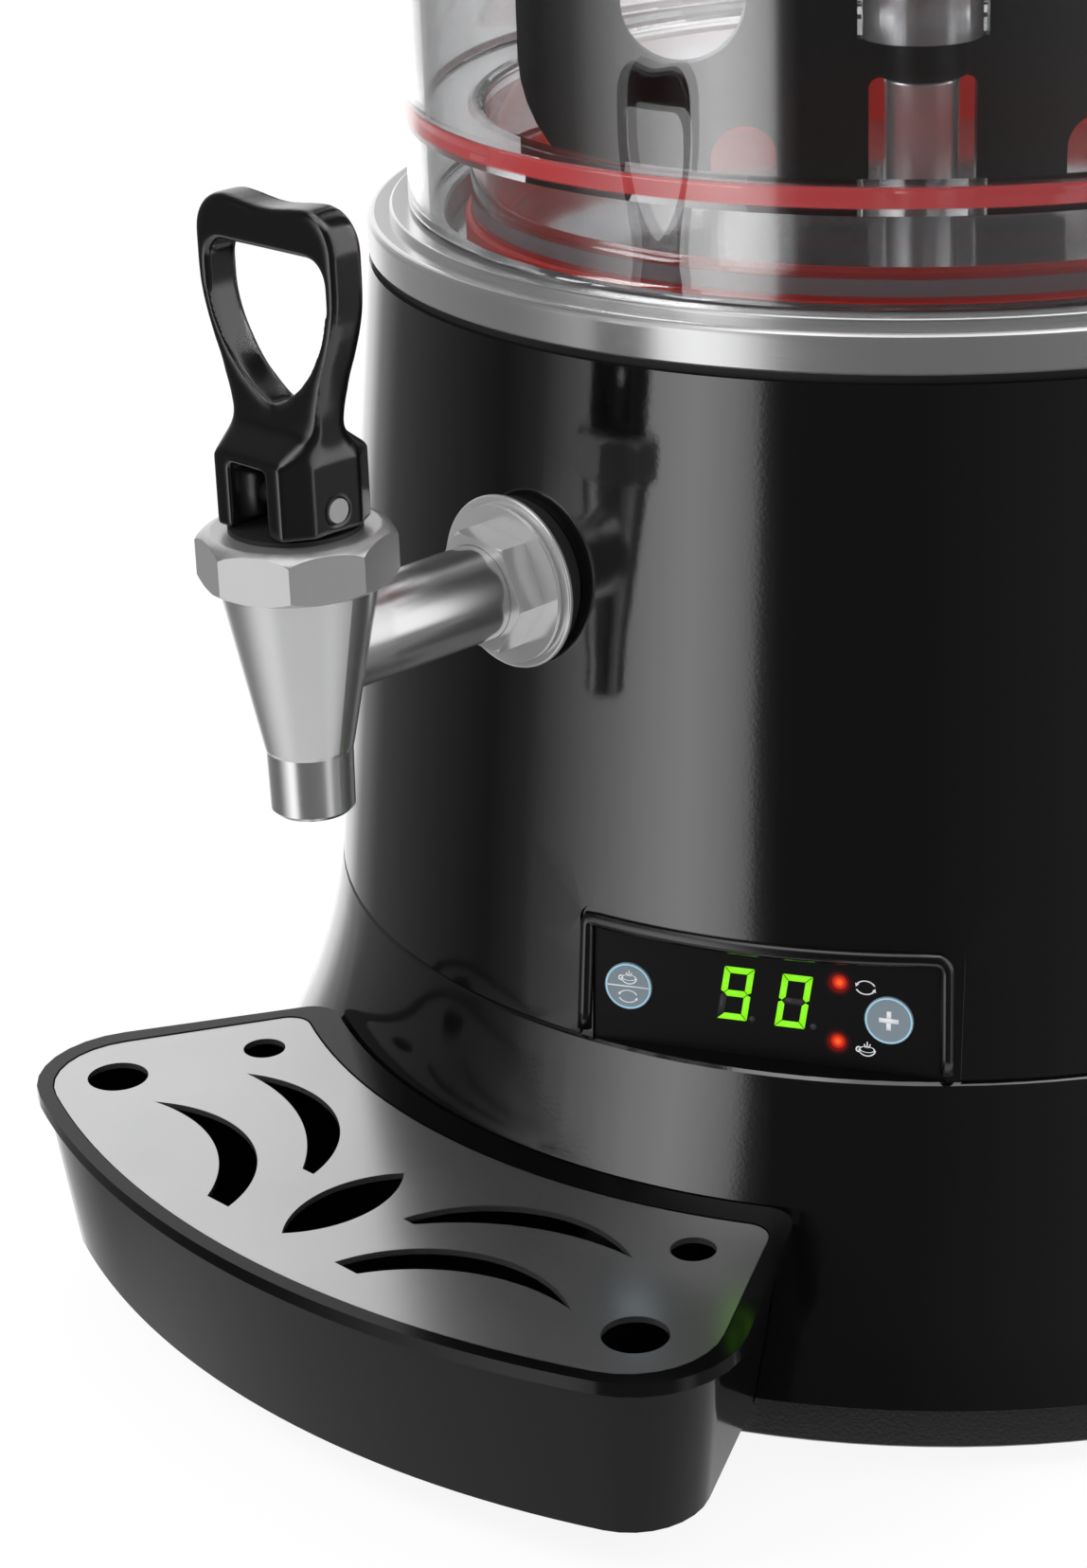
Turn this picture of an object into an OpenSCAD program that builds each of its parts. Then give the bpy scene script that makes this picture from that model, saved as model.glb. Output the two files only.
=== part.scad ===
// Countertop hot chocolate dispenser: flared base, tapered body, clear bowl on a
// polished hot plate, paddle stirrer, self-closing lever tap and lift-off drip tray.
// The tap points along -Y and the table is at z = 0.

/* [Base] */
// Diameter of the base at its foot band
base_d = 280; // [260:1:310]
// Height of the seam between base and body above the table
base_h = 68; // [62:1:80]
// Diameter of the base at the seam
base_top_d = 241; // [232:1:250]
// Height of the straight band at the foot of the base
band_h = 9; // [6:1:12]
// Ledge between the flare and the foot band
band_step = 0.6; // [0.2:0.1:1.5]
// How far the flare bows inward from a straight cone
flare_sag = 3; // [1:0.2:5]
// Wall of the moulded base
base_wall = 3; // [2.4:0.2:4]
// Width of the inward shelf that carries the body
shelf_w = 22.5; // [20:0.5:26]
// Thickness of that shelf
shelf_t = 3; // [2:0.5:5]
// Height of the base edge above the table
foot_gap = 4; // [3:0.5:6]
// Diameter of a rubber foot
foot_d = 22; // [18:1:26]
// Distance of the feet from the base's edge
foot_inset = 28; // [24:1:40]
// Distance of the bottom plate's screws from the base's edge
plate_screw_inset = 14; // [12:0.5:18]
// How far the bottom plate sits above the base edge
plate_recess = 2; // [1:0.5:4]
// Thickness of the bottom plate
bottom_t = 1.5; // [1:0.1:2.5]

/* [Body] */
// Diameter of the body at its top edge
body_top_d = 217; // [212:1:224]
// Height of the top edge of the body above the table
body_top_z = 193.5; // [188:0.5:205]
// Wall of the body shell
body_wall = 2; // [1.5:0.1:3]
// Chamfer on each side of the seam
seam_edge = 0.6; // [0.3:0.1:1]
// Width of the body's bottom flange
body_foot_w = 8; // [6:0.5:10]

/* [Collar ring] */
// Thickness of the black seal under the collar ring
seal_t = 1.6; // [1:0.1:3]
// Height of the ring's outer band
ring_h = 7.2; // [6:0.2:10]
// Width of the ring's outer ledge
ring_ledge = 4.4; // [3:0.2:5]
// Rise of the ring's inner step
ring_step = 1.5; // [0.8:0.1:2.5]
// Rounding of the ring's edges
ring_round = 1.4; // [0.4:0.1:1.8]
// Width of the ring from its edge to its bore
ring_w = 15.5; // [14:0.1:16]

/* [Hot plate and water pot] */
// Thickness of the polished plate
plate_t = 2; // [1.5:0.1:3]
// Gap between the ring's bore and the water pot's wall
pot_inset = 3; // [2.4:0.1:6]
// Depth of the water pot below its flange
pot_depth = 29; // [26:1:31]
// Sheet thickness of the water pot
pot_wall = 1.5; // [1:0.1:2]
// Width of the pot's flange
pot_flange_w = 10; // [9:0.1:12]
// Outer diameter of the steel shaft bush
bush_d = 14.7; // [13:0.1:16]
// Height of the bush above the plate
bush_h = 25.8; // [22:0.2:27]
// Diameter of the heater ring's centre line
heater_d = 90; // [80:1:98]
// Diameter of the heater tube
heater_tube_d = 8; // [6:0.5:9]

/* [Bowl and gasket] */
// Distance of the bowl's wall from the ring's edge
bowl_inset = 8.2; // [6:0.1:9]
// Wall of the bowl
bowl_wall = 4; // [3:0.2:5]
// Height of the bowl from its standing edge to its rim
bowl_h = 190; // [150:1:260]
// Height of the bowl's floor flange above its standing edge
floor_h = 15.6; // [15:0.2:22]
// Thickness of the floor flange
floor_t = 4.2; // [3:0.2:6]
// Rounding where the floor meets the bowl's wall
floor_round = 0.8; // [0.4:0.1:4]
// Distance of the inner collar from the bowl's outer wall
collar_inset = 12.3; // [12:0.1:15]
// Wall of the inner collar
collar_wall = 3; // [2:0.2:3.6]
// Rounding of the bowl rim
rim_round = 1.5; // [0.5:0.1:1.5]
// Thickness of the gasket's floor
gasket_floor = 2.2; // [1.5:0.1:2.6]
// Thickness of the gasket's inner lip
gasket_inner_lip = 2.2; // [1.5:0.1:3]
// Thickness of the gasket's outer lip
gasket_outer_lip = 1; // [0.8:0.1:1.6]
// Height of the gasket's inner lip above the plate
gasket_inner_h = 9.4; // [7:0.2:12]
// Height of the gasket's outer lip above the plate
gasket_outer_h = 4.1; // [3:0.1:4.6]

/* [Lid] */
// Thickness of the lid
lid_t = 3; // [2:0.5:4]
// Drop of the lid's locating ring into the bowl
lid_drop = 8; // [4:0.5:14]
// Overhang of the lid past the bowl
lid_lap = 1.7; // [0:0.1:3]
// Rise of the lid's raised middle
lid_rise = 9; // [4:1:16]
// Diameter of the lid knob
knob_d = 36; // [28:1:44]
// Height of the lid knob
knob_h = 20; // [15:1:26]

/* [Stirrer] */
// Diameter of the drive shaft
shaft_d = 8; // [6:0.5:9]
// Depth of the drive shaft in the gearbox
shaft_dip = 18; // [12:1:22]
// Gap between the paddle and the bowl's inner collar
paddle_clear = 7; // [4:0.5:14]
// Thickness of the paddle blade
paddle_t = 4; // [3:0.5:6]
// Height of the paddle's top edge above its lower edge
paddle_h = 62; // [52:1:90]
// Radius of the paddle's rounded upper corners
paddle_top_r = 10; // [4:1:16]
// Radius of the paddle's rounded lower corners
paddle_corner_r = 30; // [20:1:38]
// Height of the paddle's lower edge above the plate
paddle_gap = 3; // [2:0.5:6]
// Half width of the slot that straddles the bush
paddle_slot_r = 10.5; // [9.5:0.1:12]
// Diameter of the paddle's hub
hub_d = 17.2; // [15:0.2:19]
// Height of the paddle's hub
hub_h = 7.4; // [4:0.1:12]
// Distance of the arched notches from the axis
notch_reach = 34.7; // [30:0.1:38]
// Width of an arched notch
notch_w = 13; // [9:0.5:15]
// Height of an arched notch above the paddle's lower edge
notch_h = 14.5; // [11:0.5:18]
// Distance of the upper holes from the axis
hole_reach = 46; // [42:0.5:50]
// Diameter of an upper hole
hole_d = 24; // [18:0.5:26]
// Height of the upper holes above the paddle's lower edge
hole_h = 39; // [35:0.5:42]
// Diameter of the chromed cap on the hub
cap_d = 23.4; // [20:0.2:26]
// Height of the chromed cap
cap_h = 14; // [10:0.5:20]
// Turn of the paddle at rest, from the tap's direction
paddle_turn = 46; // [0:1:180]

/* [Stirrer motor] */
// Diameter of the gearbox
gearbox_d = 68; // [56:1:76]
// Height of the gearbox
gearbox_h = 32; // [24:1:36]
// Diameter of the motor can
motor_d = 50; // [40:1:54]
// Height of the motor can
motor_h = 46; // [36:1:52]
// Gap between the water pot and the motor bracket
bracket_gap = 4; // [3.4:0.2:6]
// Sheet thickness of the motor bracket
bracket_t = 2; // [1.5:0.1:3]
// Width of the motor bracket
bracket_w = 40; // [32:1:44]
// Distance of the bracket's legs from the axis
bracket_reach = 98; // [92:1:100]
// Length of the bracket's feet
bracket_foot = 10; // [8:0.5:10]

/* [Tap] */
// Distance of the tap's upright axis from the machine's axis
tap_reach = 163.6; // [155:0.2:168]
// Height of the tap pipe's axis above the table
pipe_z = 151.5; // [146:0.5:156]
// Diameter of the tap pipe
pipe_d = 17.6; // [16:0.2:18.4]
// Bore of the tap pipe
pipe_bore_d = 11; // [9:0.5:12]
// How far the pipe reaches inside the body
pipe_tail = 18.5; // [17:0.5:24]
// Height of the nozzle's mouth above the table
nozzle_z = 123; // [118:0.5:128]
// Height of the nozzle
nozzle_h = 12; // [9:0.5:14]
// Diameter of the nozzle's mouth
nozzle_d = 14.8; // [13.4:0.2:15.4]
// Bore of the nozzle
nozzle_bore_d = 9; // [7:0.5:10]
// Diameter at the foot of the tap's cone
cone_foot_d = 15.6; // [15:0.2:17]
// Diameter at the top of the tap's cone
cone_top_d = 27.8; // [27.2:0.2:30]
// Height of the tap's cone
cone_h = 30.5; // [28:0.5:34]
// Height of the valve seat above the nozzle's mouth
seat_h = 16.5; // [15:0.5:18]
// Bore of the valve chamber above the seat
seat_bore_d = 12.4; // [12:0.2:13]
// Height of that bore
seat_bore_h = 7.5; // [6:0.5:9]
// Bore of the valve chamber's upper part
chamber_d = 16; // [15:0.2:17]
// Diameter of the neck that the bonnet nut grips
neck_d = 21; // [20:0.2:22]
// Height of that neck
neck_h = 7; // [6:0.5:8]
// Width of the bonnet nut across its corners
bonnet_d = 34.6; // [32:0.2:37]
// Top wall of the bonnet nut
bonnet_top_t = 2; // [1.5:0.1:3]
// Rounding of the bonnet nut's upper edge
bonnet_edge = 2.2; // [1:0.1:3]
// Diameter of the black washer under the lever
lever_washer_d = 23; // [20:0.5:25]
// Thickness of the black washer under the lever
lever_washer_t = 0.8; // [0.5:0.1:1.5]
// Diameter of the seal between tap and body
tap_seal_d = 30; // [28:0.2:31]
// Thickness of the seal at its thinnest
tap_seal_t = 0.3; // [0.2:0.1:1.5]
// Diameter of the tap's washer
tap_washer_d = 32.2; // [31:0.2:34]
// Thickness of the tap's washer
tap_washer_t = 1.2; // [1:0.1:2.5]
// Diameter of the tap nut's flange
tap_flange_d = 29.2; // [28:0.2:30.4]
// Thickness of the tap nut's flange
tap_flange_t = 1.4; // [1:0.1:2.5]
// Width of the tap nut across its corners
tap_nut_d = 23; // [21.6:0.2:24.6]
// Height of the tap nut's hexagon
tap_nut_h = 6; // [3.6:0.2:7]
// Turn of the tap nut's corners
tap_nut_turn = 54.3; // [0:0.1:60]
// Width of the lock nut across its corners
lock_nut_d = 27; // [24:0.5:30]
// Height of the lock nut
lock_nut_h = 5; // [3:0.5:6]

/* [Valve] */
// Diameter of the valve stem
stem_d = 7; // [6:0.2:7.6]
// Diameter of the seat cup
seat_cup_d = 11.8; // [11:0.1:11.9]
// Height of the seat cup
seat_cup_h = 7.7; // [6:0.1:9]
// Wire of the valve spring
spring_wire_d = 1.2; // [0.8:0.1:1.5]
// Turns of the valve spring
spring_turns = 7; // [5:1:9]

/* [Lever] */
// Width of the lever's block
block_w = 23; // [21:0.5:25]
// Depth of the lever's block
block_d = 20; // [18:0.5:22]
// Height of the lever's block
block_h = 13; // [12:0.5:15]
// Width of the block's corner cuts
block_cut_w = 3.2; // [1:0.2:4]
// Depth of the block's corner cuts
block_cut_d = 5; // [2:0.2:6]
// Width of the block's slot
slot_w = 9; // [8.2:0.2:10]
// Height of the block's slot
slot_h = 11.5; // [10:0.5:12]
// Diameter of the lever pin
pin_d = 4.2; // [3.6:0.1:4.4]
// Height of the lever pin above the block's underside
pin_h = 4; // [3.6:0.1:5]
// Height of the whole lever
lever_h = 55; // [50:0.5:60]
// Depth of the lever's loop
loop_t = 7.2; // [6:0.2:9]
// Half width of the loop near its top
loop_r = 17.4; // [16:0.2:19]
// Half width of the lever's neck
neck_r = 11; // [9.5:0.1:11.4]
// Height of the neck above the block's underside
neck_z = 16.5; // [15.5:0.5:18]
// Thickness of the loop's sides
loop_side = 2.8; // [2.4:0.1:4]
// Thickness of the loop's top bar
loop_bar = 8; // [6:0.2:9]
// Height of the loop's opening
loop_hole_h = 26.5; // [22:0.5:29]

/* [Control panel] */
// Direction of the panel, measured from the tap
panel_az = 26.3; // [24:0.1:40]
// Width of the panel opening
panel_w = 71.8; // [64:0.2:74]
// Height of the panel opening above the seam
panel_h = 26; // [22:0.2:28]
// Corner rounding of the panel opening
panel_round = 3; // [1:0.5:5]
// Width of the panel's frame
bezel_w = 2.6; // [1.5:0.1:3]
// How deep the frame sits below the body's surface
bezel_set = 0.5; // [0.2:0.1:1]
// How deep the flat face sits behind the chord across the opening
face_set = 0.4; // [0.2:0.1:1.2]
// Thickness of the panel's face
face_t = 2; // [1.5:0.1:2.6]
// Diameter of a push button
button_d = 9; // [8:0.1:10]
// Travel of a push button
button_travel = 0.5; // [0.2:0.1:0.8]
// How far a button stands proud of the face
button_proud = 0.3; // [0.1:0.1:0.8]
// Distance of the left button from the panel's middle
left_button_x = 26.6; // [25:0.1:27]
// Height of the left button above the seam
left_button_z = 10.8; // [9:0.1:13]
// Distance of the right button from the panel's middle
right_button_x = 22.4; // [21.4:0.1:24]
// Height of the right button above the seam
right_button_z = 10.2; // [9:0.1:13]
// Distance of the lamps from the panel's middle
lamp_x = 13; // [12.4:0.1:13.4]
// Height of the lower lamp above the seam
lamp_z = 4.9; // [4:0.1:6]
// Distance between the lamps
lamp_pitch = 11.3; // [9:0.1:12]
// Diameter of a lamp
lamp_d = 3; // [2:0.1:3.6]
// Height of the display's middle above the seam
display_z = 11.8; // [10:0.1:13]
// Width of the two-digit display
display_w = 20; // [16:0.5:22]
// Height of the two-digit display
display_h = 13; // [10:0.5:14]
// Depth of the two-digit display
display_t = 5; // [4:0.2:6]
// Width of the control board
board_w = 64; // [62:0.5:66]
// Height of the control board
board_h = 19; // [17:0.5:20]
// Thickness of the control board
board_t = 1.6; // [1:0.1:2]

/* [Drip tray] */
// Distance of the tray's front edge from the machine's axis
tray_r = 190.6; // [186:0.2:205]
// Half angle of the tray
tray_angle = 30.3; // [26:0.1:34]
// Height of the tray's rim above the table
tray_top_z = 44; // [40:0.5:50]
// Depth of the tray
tray_depth = 33.5; // [28:0.5:36]
// Draft of the tray's walls
tray_draft = 4.2; // [1:0.2:5]
// Overhang of the tray's lip in front
lip_front_w = 1.7; // [1:0.1:2.2]
// Overhang of the tray's lip at the sides
lip_side_w = 4.1; // [2:0.1:4.6]
// Thickness of the tray's lip
lip_t = 2.6; // [2.2:0.1:4]
// Wall of the tray
tray_wall = 2.4; // [1.6:0.2:3]
// Width of the tray's rim in front
rim_front_w = 3.2; // [2.8:0.1:6]
// Width of the tray's rim behind
rim_back_w = 6.5; // [5:0.5:8]
// Width of the tray's rim at the sides
rim_side_w = 4.6; // [3:0.1:6]
// Rounding of the tray's front corners
tray_front_round = 20; // [12:0.5:22]
// Rounding of the tray's rear corners
tray_back_round = 6; // [4:0.5:9]
// Depth of the grid's seat below the rim
grid_set = 1.4; // [1:0.1:2]
// Thickness of the grid plate
grid_t = 1.2; // [0.8:0.1:1.6]
// Width of a hook tongue behind the tray
hook_w = 18; // [12:1:24]
// Thickness of a hook tongue
hook_t = 3; // [2:0.2:4]
// How far a hook tongue reaches through the base's wall
hook_reach = 7; // [5:0.5:9]
// Distance of the hook tongues from the middle
hook_x = 36; // [28:1:44]
// Height of the hook tongues above the table
hook_z = 32; // [29:0.5:36]

/* [Grid pattern] */
// Diameter of the front corner holes
big_hole_d = 12; // [8:0.2:13]
// Distance of those holes from the machine's axis
big_hole_reach = 174.4; // [172:0.1:175]
// Turn of those holes from the tap's direction
big_hole_turn = 24.1; // [23.6:0.1:24.6]
// Diameter of the rear corner holes
small_hole_d = 8.4; // [6:0.2:9]
// Distance of those holes from the machine's axis
small_hole_reach = 144.3; // [143:0.1:145]
// Turn of those holes from the tap's direction
small_hole_turn = 24.1; // [23.8:0.1:25]
// Distance of the leaf slot's middle from the machine's axis
leaf_reach = 162.5; // [159:0.5:164]
// Length of the leaf slot
leaf_len = 30; // [24:0.5:33]
// Width of the leaf slot
leaf_w = 12; // [9:0.5:15]
// Radius of a crescent slot's crown
crescent_r = 28.2; // [27:0.1:29]
// Height of a crescent slot's blunt end above its crown's centre
crescent_end = 6.8; // [5:0.1:9]
// Sideways place of the inner crescents' crown
inner_crescent_x = 39.7; // [39:0.1:41]
// Distance of that crown's centre from the machine's axis
inner_crescent_y = 166; // [165:0.1:167]
// Radius of the inner crescents' hollow side
inner_hollow_r = 46.9; // [44:0.1:50]
// Sideways shift of that hollow from the crown
inner_hollow_x = 12.7; // [12:0.1:13.4]
// Forward shift of that hollow from the crown
inner_hollow_y = 22.1; // [21.4:0.1:23]
// Sideways place of the outer crescents' crown
outer_crescent_x = 42.1; // [41:0.1:43]
// Distance of that crown's centre from the machine's axis
outer_crescent_y = 184.6; // [183.6:0.1:185.6]
// Radius of the outer crescents' hollow side
outer_hollow_r = 35.1; // [34:0.1:36]
// Sideways shift of that hollow from the crown
outer_hollow_x = 9; // [8.4:0.1:9.6]
// Forward shift of that hollow from the crown
outer_hollow_y = 10.9; // [10.4:0.1:11.4]

/* [Rear inlet] */
// Width of the rear niche
niche_w = 68; // [62:1:76]
// Height of the rear niche
niche_h = 32; // [30:1:34]
// Height of the niche's floor above the table
niche_z = 21; // [20:0.5:24]
// Distance of the niche's back wall from the machine's axis
niche_y = 110; // [106:0.5:112]
// Wall of the niche
niche_wall = 2; // [1.6:0.2:3]
// Distance of switch and cord gland from the middle
inlet_x = 16; // [14:0.5:19]
// Width of the switch frame
switch_w = 15; // [14:0.5:18]
// Height of the switch frame
switch_h = 21; // [20:0.5:24]
// Rim of the switch frame
switch_rim = 1.6; // [1.2:0.1:2.2]
// Depth of the switch body behind the wall
switch_depth = 18; // [12:0.5:24]
// Tilt of the rocker to either side
rocker_tilt = 10; // [6:1:12]
// Diameter of the cord gland
gland_d = 14; // [12:0.5:16]
// Length of the cord gland outside the wall
gland_l = 12; // [8:0.5:14]
// Bore of the cord gland
gland_bore_d = 7; // [6:0.5:8]

/* [Fits] */
// Gap of a fixed fit
fit = 0.05; // [0.02:0.01:0.1]
// Radial gap of a running fit
run = 0.06; // [0.02:0.01:0.1]
// Gap between a loose piece and its seat
rest = 0.3; // [0.2:0.05:0.5]

/* [Hidden] */
$fn = 96;

base_r = base_d / 2;
base_top_r = base_top_d / 2;
body_top_r = body_top_d / 2;
band_top = foot_gap + band_h;
plate_bottom_z = foot_gap + plate_recess;
shelf_bore_r = base_top_r - shelf_w;
axis_y = (tray_r - base_r) / 2;

seal_top_z = body_top_z + seal_t;
pot_top_z = seal_top_z + pot_wall;
plate_z = pot_top_z + plate_t;
ledge_z = seal_top_z + ring_h;
step_z = ledge_z + ring_step;
ring_r = body_top_r;
ring_bore_r = ring_r - ring_w;
pot_r = ring_bore_r - pot_inset;
pot_flange_r = pot_r + pot_flange_w;
pot_bottom_z = seal_top_z - pot_depth;
bracket_z = pot_bottom_z - bracket_gap;
gearbox_top_z = bracket_z - bracket_t;
bush_r = bush_d / 2;
bush_top_z = plate_z + bush_h;
shaft_r = shaft_d / 2;

bowl_r = ring_r - bowl_inset;
bowl_foot_z = step_z + rest;
floor_z = bowl_foot_z + floor_h;
bowl_rim_z = bowl_foot_z + bowl_h;
collar_r = bowl_r - collar_inset;
collar_in_r = collar_r - collar_wall;
gasket_slot_out_r = collar_r + rest;
gasket_slot_in_r = collar_in_r - rest;
collar_foot_z = plate_z + gasket_floor + rest;

paddle_z = plate_z + paddle_gap;
paddle_r = collar_in_r - paddle_clear;
hub_z = bush_top_z + rest;
cap_z = hub_z + hub_h;
shaft_foot_z = gearbox_top_z - shaft_dip;

pipe_r = pipe_d / 2;
cone_z = nozzle_z + nozzle_h;
cone_top_z = cone_z + cone_h;
neck_top_z = cone_top_z + neck_h;
bonnet_top_z = neck_top_z + bonnet_top_t;
lever_z = bonnet_top_z + lever_washer_t + rest;
pin_z = lever_z + pin_h;
seat_z = nozzle_z + seat_h;
cup_z = seat_z + rest;
cup_top_z = cup_z + seat_cup_h;
stem_top_z = pin_z + stem_d / 2 + rest;

// Outer radius of the body's cone at a height
function body_r(z) = base_top_r + (body_top_r - base_top_r) * (z - base_h) / (body_top_z - base_h);
// Slope of the body's side from the upright
body_slope = atan((base_top_r - body_top_r) / (body_top_z - base_h));
// The flare is an arc that bows inward between the foot band and the seam
flare_run = base_r - band_step - base_top_r;
flare_rise = base_h - band_top;
flare_chord = norm([flare_run, flare_rise]);
flare_rho = (pow(flare_chord / 2, 2) + pow(flare_sag, 2)) / (2 * flare_sag);
flare_lift = (flare_rho - flare_sag) / flare_chord;
flare_x = base_top_r + flare_run / 2 + flare_rise * flare_lift;
flare_z = base_h - flare_rise / 2 + flare_run * flare_lift;
// Outer radius of the base's flare at a height
function flare_r(z) = flare_x - sqrt(pow(flare_rho, 2) - pow(z - flare_z, 2));

// The seal plane lies just outside the body's widest point behind the tap's seal
seal_y = max(body_r(pipe_z - tap_seal_d / 2), body_r(pipe_z + tap_seal_d / 2)) + tap_seal_t;
washer_y = seal_y + tap_washer_t;
flange_y = washer_y + tap_flange_t;
tap_nut_y = flange_y + tap_nut_h;
saddle_y = min(body_r(pipe_z + lock_nut_d / 2), body_r(pipe_z - lock_nut_d / 2)) - body_wall - 4;
pipe_tail_y = body_r(pipe_z) - pipe_tail;
outlet_d = 14;
outlet_wall = 1.5;
outlet_bend = 16;
outlet_reach = 62;
outlet_lap = 8;

// Places of the repeated fasteners, as turns around the axis
screw_turns = [60, 120, 240, 300];
foot_turns = [45, 135, 225, 315];
foot_reach = base_r - foot_inset;
plate_screw_reach = base_r - plate_screw_inset;
body_screw_reach = base_top_r - body_wall - body_foot_w / 2 - 1;
ring_screw_reach = (pot_flange_r + ring_bore_r) / 2 + 0.7;
bracket_screw_x = bracket_reach + bracket_foot / 2;
bracket_screw_y = bracket_w / 2 - 8;
motor_screw_reach = gearbox_d / 2 - 10;
screw_d = 3;
boss_d = 10;
boss_h = 9;

// Rounded outline of a ring sector that opens toward -Y
function polar(r, a) = [r * sin(a), -r * cos(a)];
function corner(c, r, a0, a1, n) = [for (i = [0 : n]) c + r * [sin(a0 + (a1 - a0) * i / n),
        -cos(a0 + (a1 - a0) * i / n)]];
function sector_points(r0, r1, a, c0, c1) =
let (ao = a - asin(c1 / (r1 - c1)), ai = a - asin(c0 / (r0 + c0)), n = 8)
concat(
    [for (i = [-16 : 16]) polar(r1, ao * i / 16)],
    corner(polar(r1 - c1, ao), c1, ao, a + 90, n),
    corner(polar(r0 + c0, ai), c0, a + 90, ai + 180, n),
    [for (i = [16 : -1 : -16]) polar(r0, ai * i / 16)],
    corner(polar(r0 + c0, -ai), c0, 180 - ai, 270 - a, n),
    corner(polar(r1 - c1, -ao), c1, 270 - a, 360 - ao, n));

// Turns and carries pieces to the machine's axis
module on_axis() {
    translate([0, axis_y, 0]) children();
}

// Points along -Y turned by an angle from the tap's direction
module toward(turn) {
    rotate([0, 0, turn]) children();
}

// A cylinder from one height to another
module drum(r, z0, z1) {
    translate([0, 0, z0]) cylinder(r = r, h = z1 - z0);
}

// A cylinder along Y from one distance in front of the axis to another
module forward_drum(r, y0, y1) {
    translate([0, -y0, 0]) rotate([90, 0, 0]) cylinder(r = r, h = y1 - y0);
}

// A drum with its upper edge rounded over
module domed_drum(r, z0, z1, edge) {
    rotate_extrude() polygon(concat([[0, z0], [r, z0]],
            [for (i = [0 : 6]) [r - edge + edge * cos(15 * i), z1 - edge + edge * sin(15 * i)]],
            [[0, z1]]));
}

// A screw that stands on its head's seat and points down
module screw(z, length, head_d, head_h) {
    drum(screw_d / 2, z - length, z);
    domed_drum(head_d / 2, z, z + head_h, head_h * 0.4);
}

// The panel opening as a block with rounded upper corners
module panel_block(inset) {
    w = panel_w / 2 - inset;
    top = base_h + panel_h - inset;
    c = max(panel_round - inset, 0.6);
    toward(panel_az) translate([0, -base_top_r + 24, 0]) rotate([90, 0, 0])
        linear_extrude(height = 40) union() {
        translate([-w, base_h + fit]) square([2 * w, panel_h - inset - c - fit]);
        translate([-w + c, base_h + fit]) square([2 * (w - c), panel_h - inset - fit]);
        for (s = [-1, 1]) translate([s * (w - c), top - c]) circle(r = c);
    }
}

// Half section of everything inside the base's surface, grown outward by a distance
module base_half(z0, z1, grow) {
    e = seam_edge;
    difference() {
        polygon([[0, z0], [base_r + grow - e, z0], [base_r + grow, z0 + e],
            [base_r + grow, band_top + grow], [base_top_r + grow + 0.2, z1 - e],
            [base_top_r + grow - e, z1], [0, z1]]);
        translate([flare_x, flare_z]) circle(r = flare_rho - grow, $fn = 360);
    }
}

// Everything inside the base's outer surface
module base_envelope() {
    rotate_extrude() base_half(foot_gap, base_h, 0);
}

// Moulded base with shelf, screw bosses, hook slots and rear window
module base_skirt() {
    color("#101012") on_axis() difference() {
        union() {
            rotate_extrude() difference() {
                base_half(foot_gap, base_h, 0);
                base_half(0, base_h - shelf_t, -base_wall);
                square([shelf_bore_r, base_h + 1]);
            }
            intersection() {
                base_envelope();
                for (t = screw_turns) toward(t) translate([0, -plate_screw_reach, 0]) union() {
                    drum(boss_d / 2, plate_bottom_z + bottom_t, plate_bottom_z + bottom_t + boss_h);
                    translate([-1.2, -base_r + plate_screw_reach, plate_bottom_z + bottom_t])
                        cube([2.4, base_r - plate_screw_reach, boss_h]);
                }
            }
        }
        for (s = [-1, 1]) translate([s * hook_x - hook_w / 2 - rest, -base_r, hook_z - rest])
            cube([hook_w + 2 * rest, 50, hook_t + 2 * rest]);
        for (t = screw_turns) toward(t) {
            translate([0, -plate_screw_reach, 0])
                drum(screw_d / 2 + fit, 0, plate_bottom_z + bottom_t + boss_h - 1);
            translate([0, -body_screw_reach, 0])
                drum(screw_d / 2 + fit, base_h - shelf_t - 1, base_h + 1);
        }
        for (sx = [-1, 1], sy = [-1, 1]) translate([sx * bracket_screw_x, sy * bracket_screw_y, 0])
            drum(screw_d / 2 + fit, base_h - shelf_t - 1, base_h + 1);
        recess_window();
    }
}

// Moulded box set into the base's rear window, cut flush with the flare
module rear_recess() {
    color("#161618") on_axis() difference() {
        intersection() {
            base_envelope();
            translate([-niche_w / 2 - niche_wall, niche_y - niche_wall, niche_z - niche_wall])
                cube([niche_w + 2 * niche_wall, base_r, niche_h + 2 * niche_wall]);
        }
        translate([-niche_w / 2, niche_y, niche_z]) cube([niche_w, base_r, niche_h]);
        switch_cut();
        gland_cut();
    }
}

// Window in the base's wall for the rear recess
module recess_window() {
    translate([-niche_w / 2 - niche_wall - fit, niche_y - 20, niche_z - niche_wall - fit])
        cube([niche_w + 2 * niche_wall + 2 * fit, base_r, niche_h + 2 * niche_wall + 2 * fit]);
}

inlet_z = niche_z + niche_h / 2;

// The switch's opening in the recess
module switch_cut() {
    translate([-inlet_x, niche_y - niche_wall - 1, inlet_z])
        translate([-switch_w / 2 + switch_rim, 0, -switch_h / 2 + switch_rim])
            cube([switch_w - 2 * switch_rim, niche_wall + 2, switch_h - 2 * switch_rim]);
}

// The cord gland's hole
module gland_cut() {
    translate([inlet_x, 0, inlet_z])
        forward_drum(gland_d / 2 - 1.5 + fit, -niche_y - 1, -niche_y + niche_wall + 1);
}

// Sheet-steel bottom plate
module bottom_plate() {
    color("#8a8c8e") on_axis() difference() {
        drum(base_r - base_wall - rest, plate_bottom_z, plate_bottom_z + bottom_t);
        for (t = screw_turns) toward(t) translate([0, -plate_screw_reach, 0])
            drum(screw_d / 2 + rest, 0, base_h);
    }
}

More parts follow.
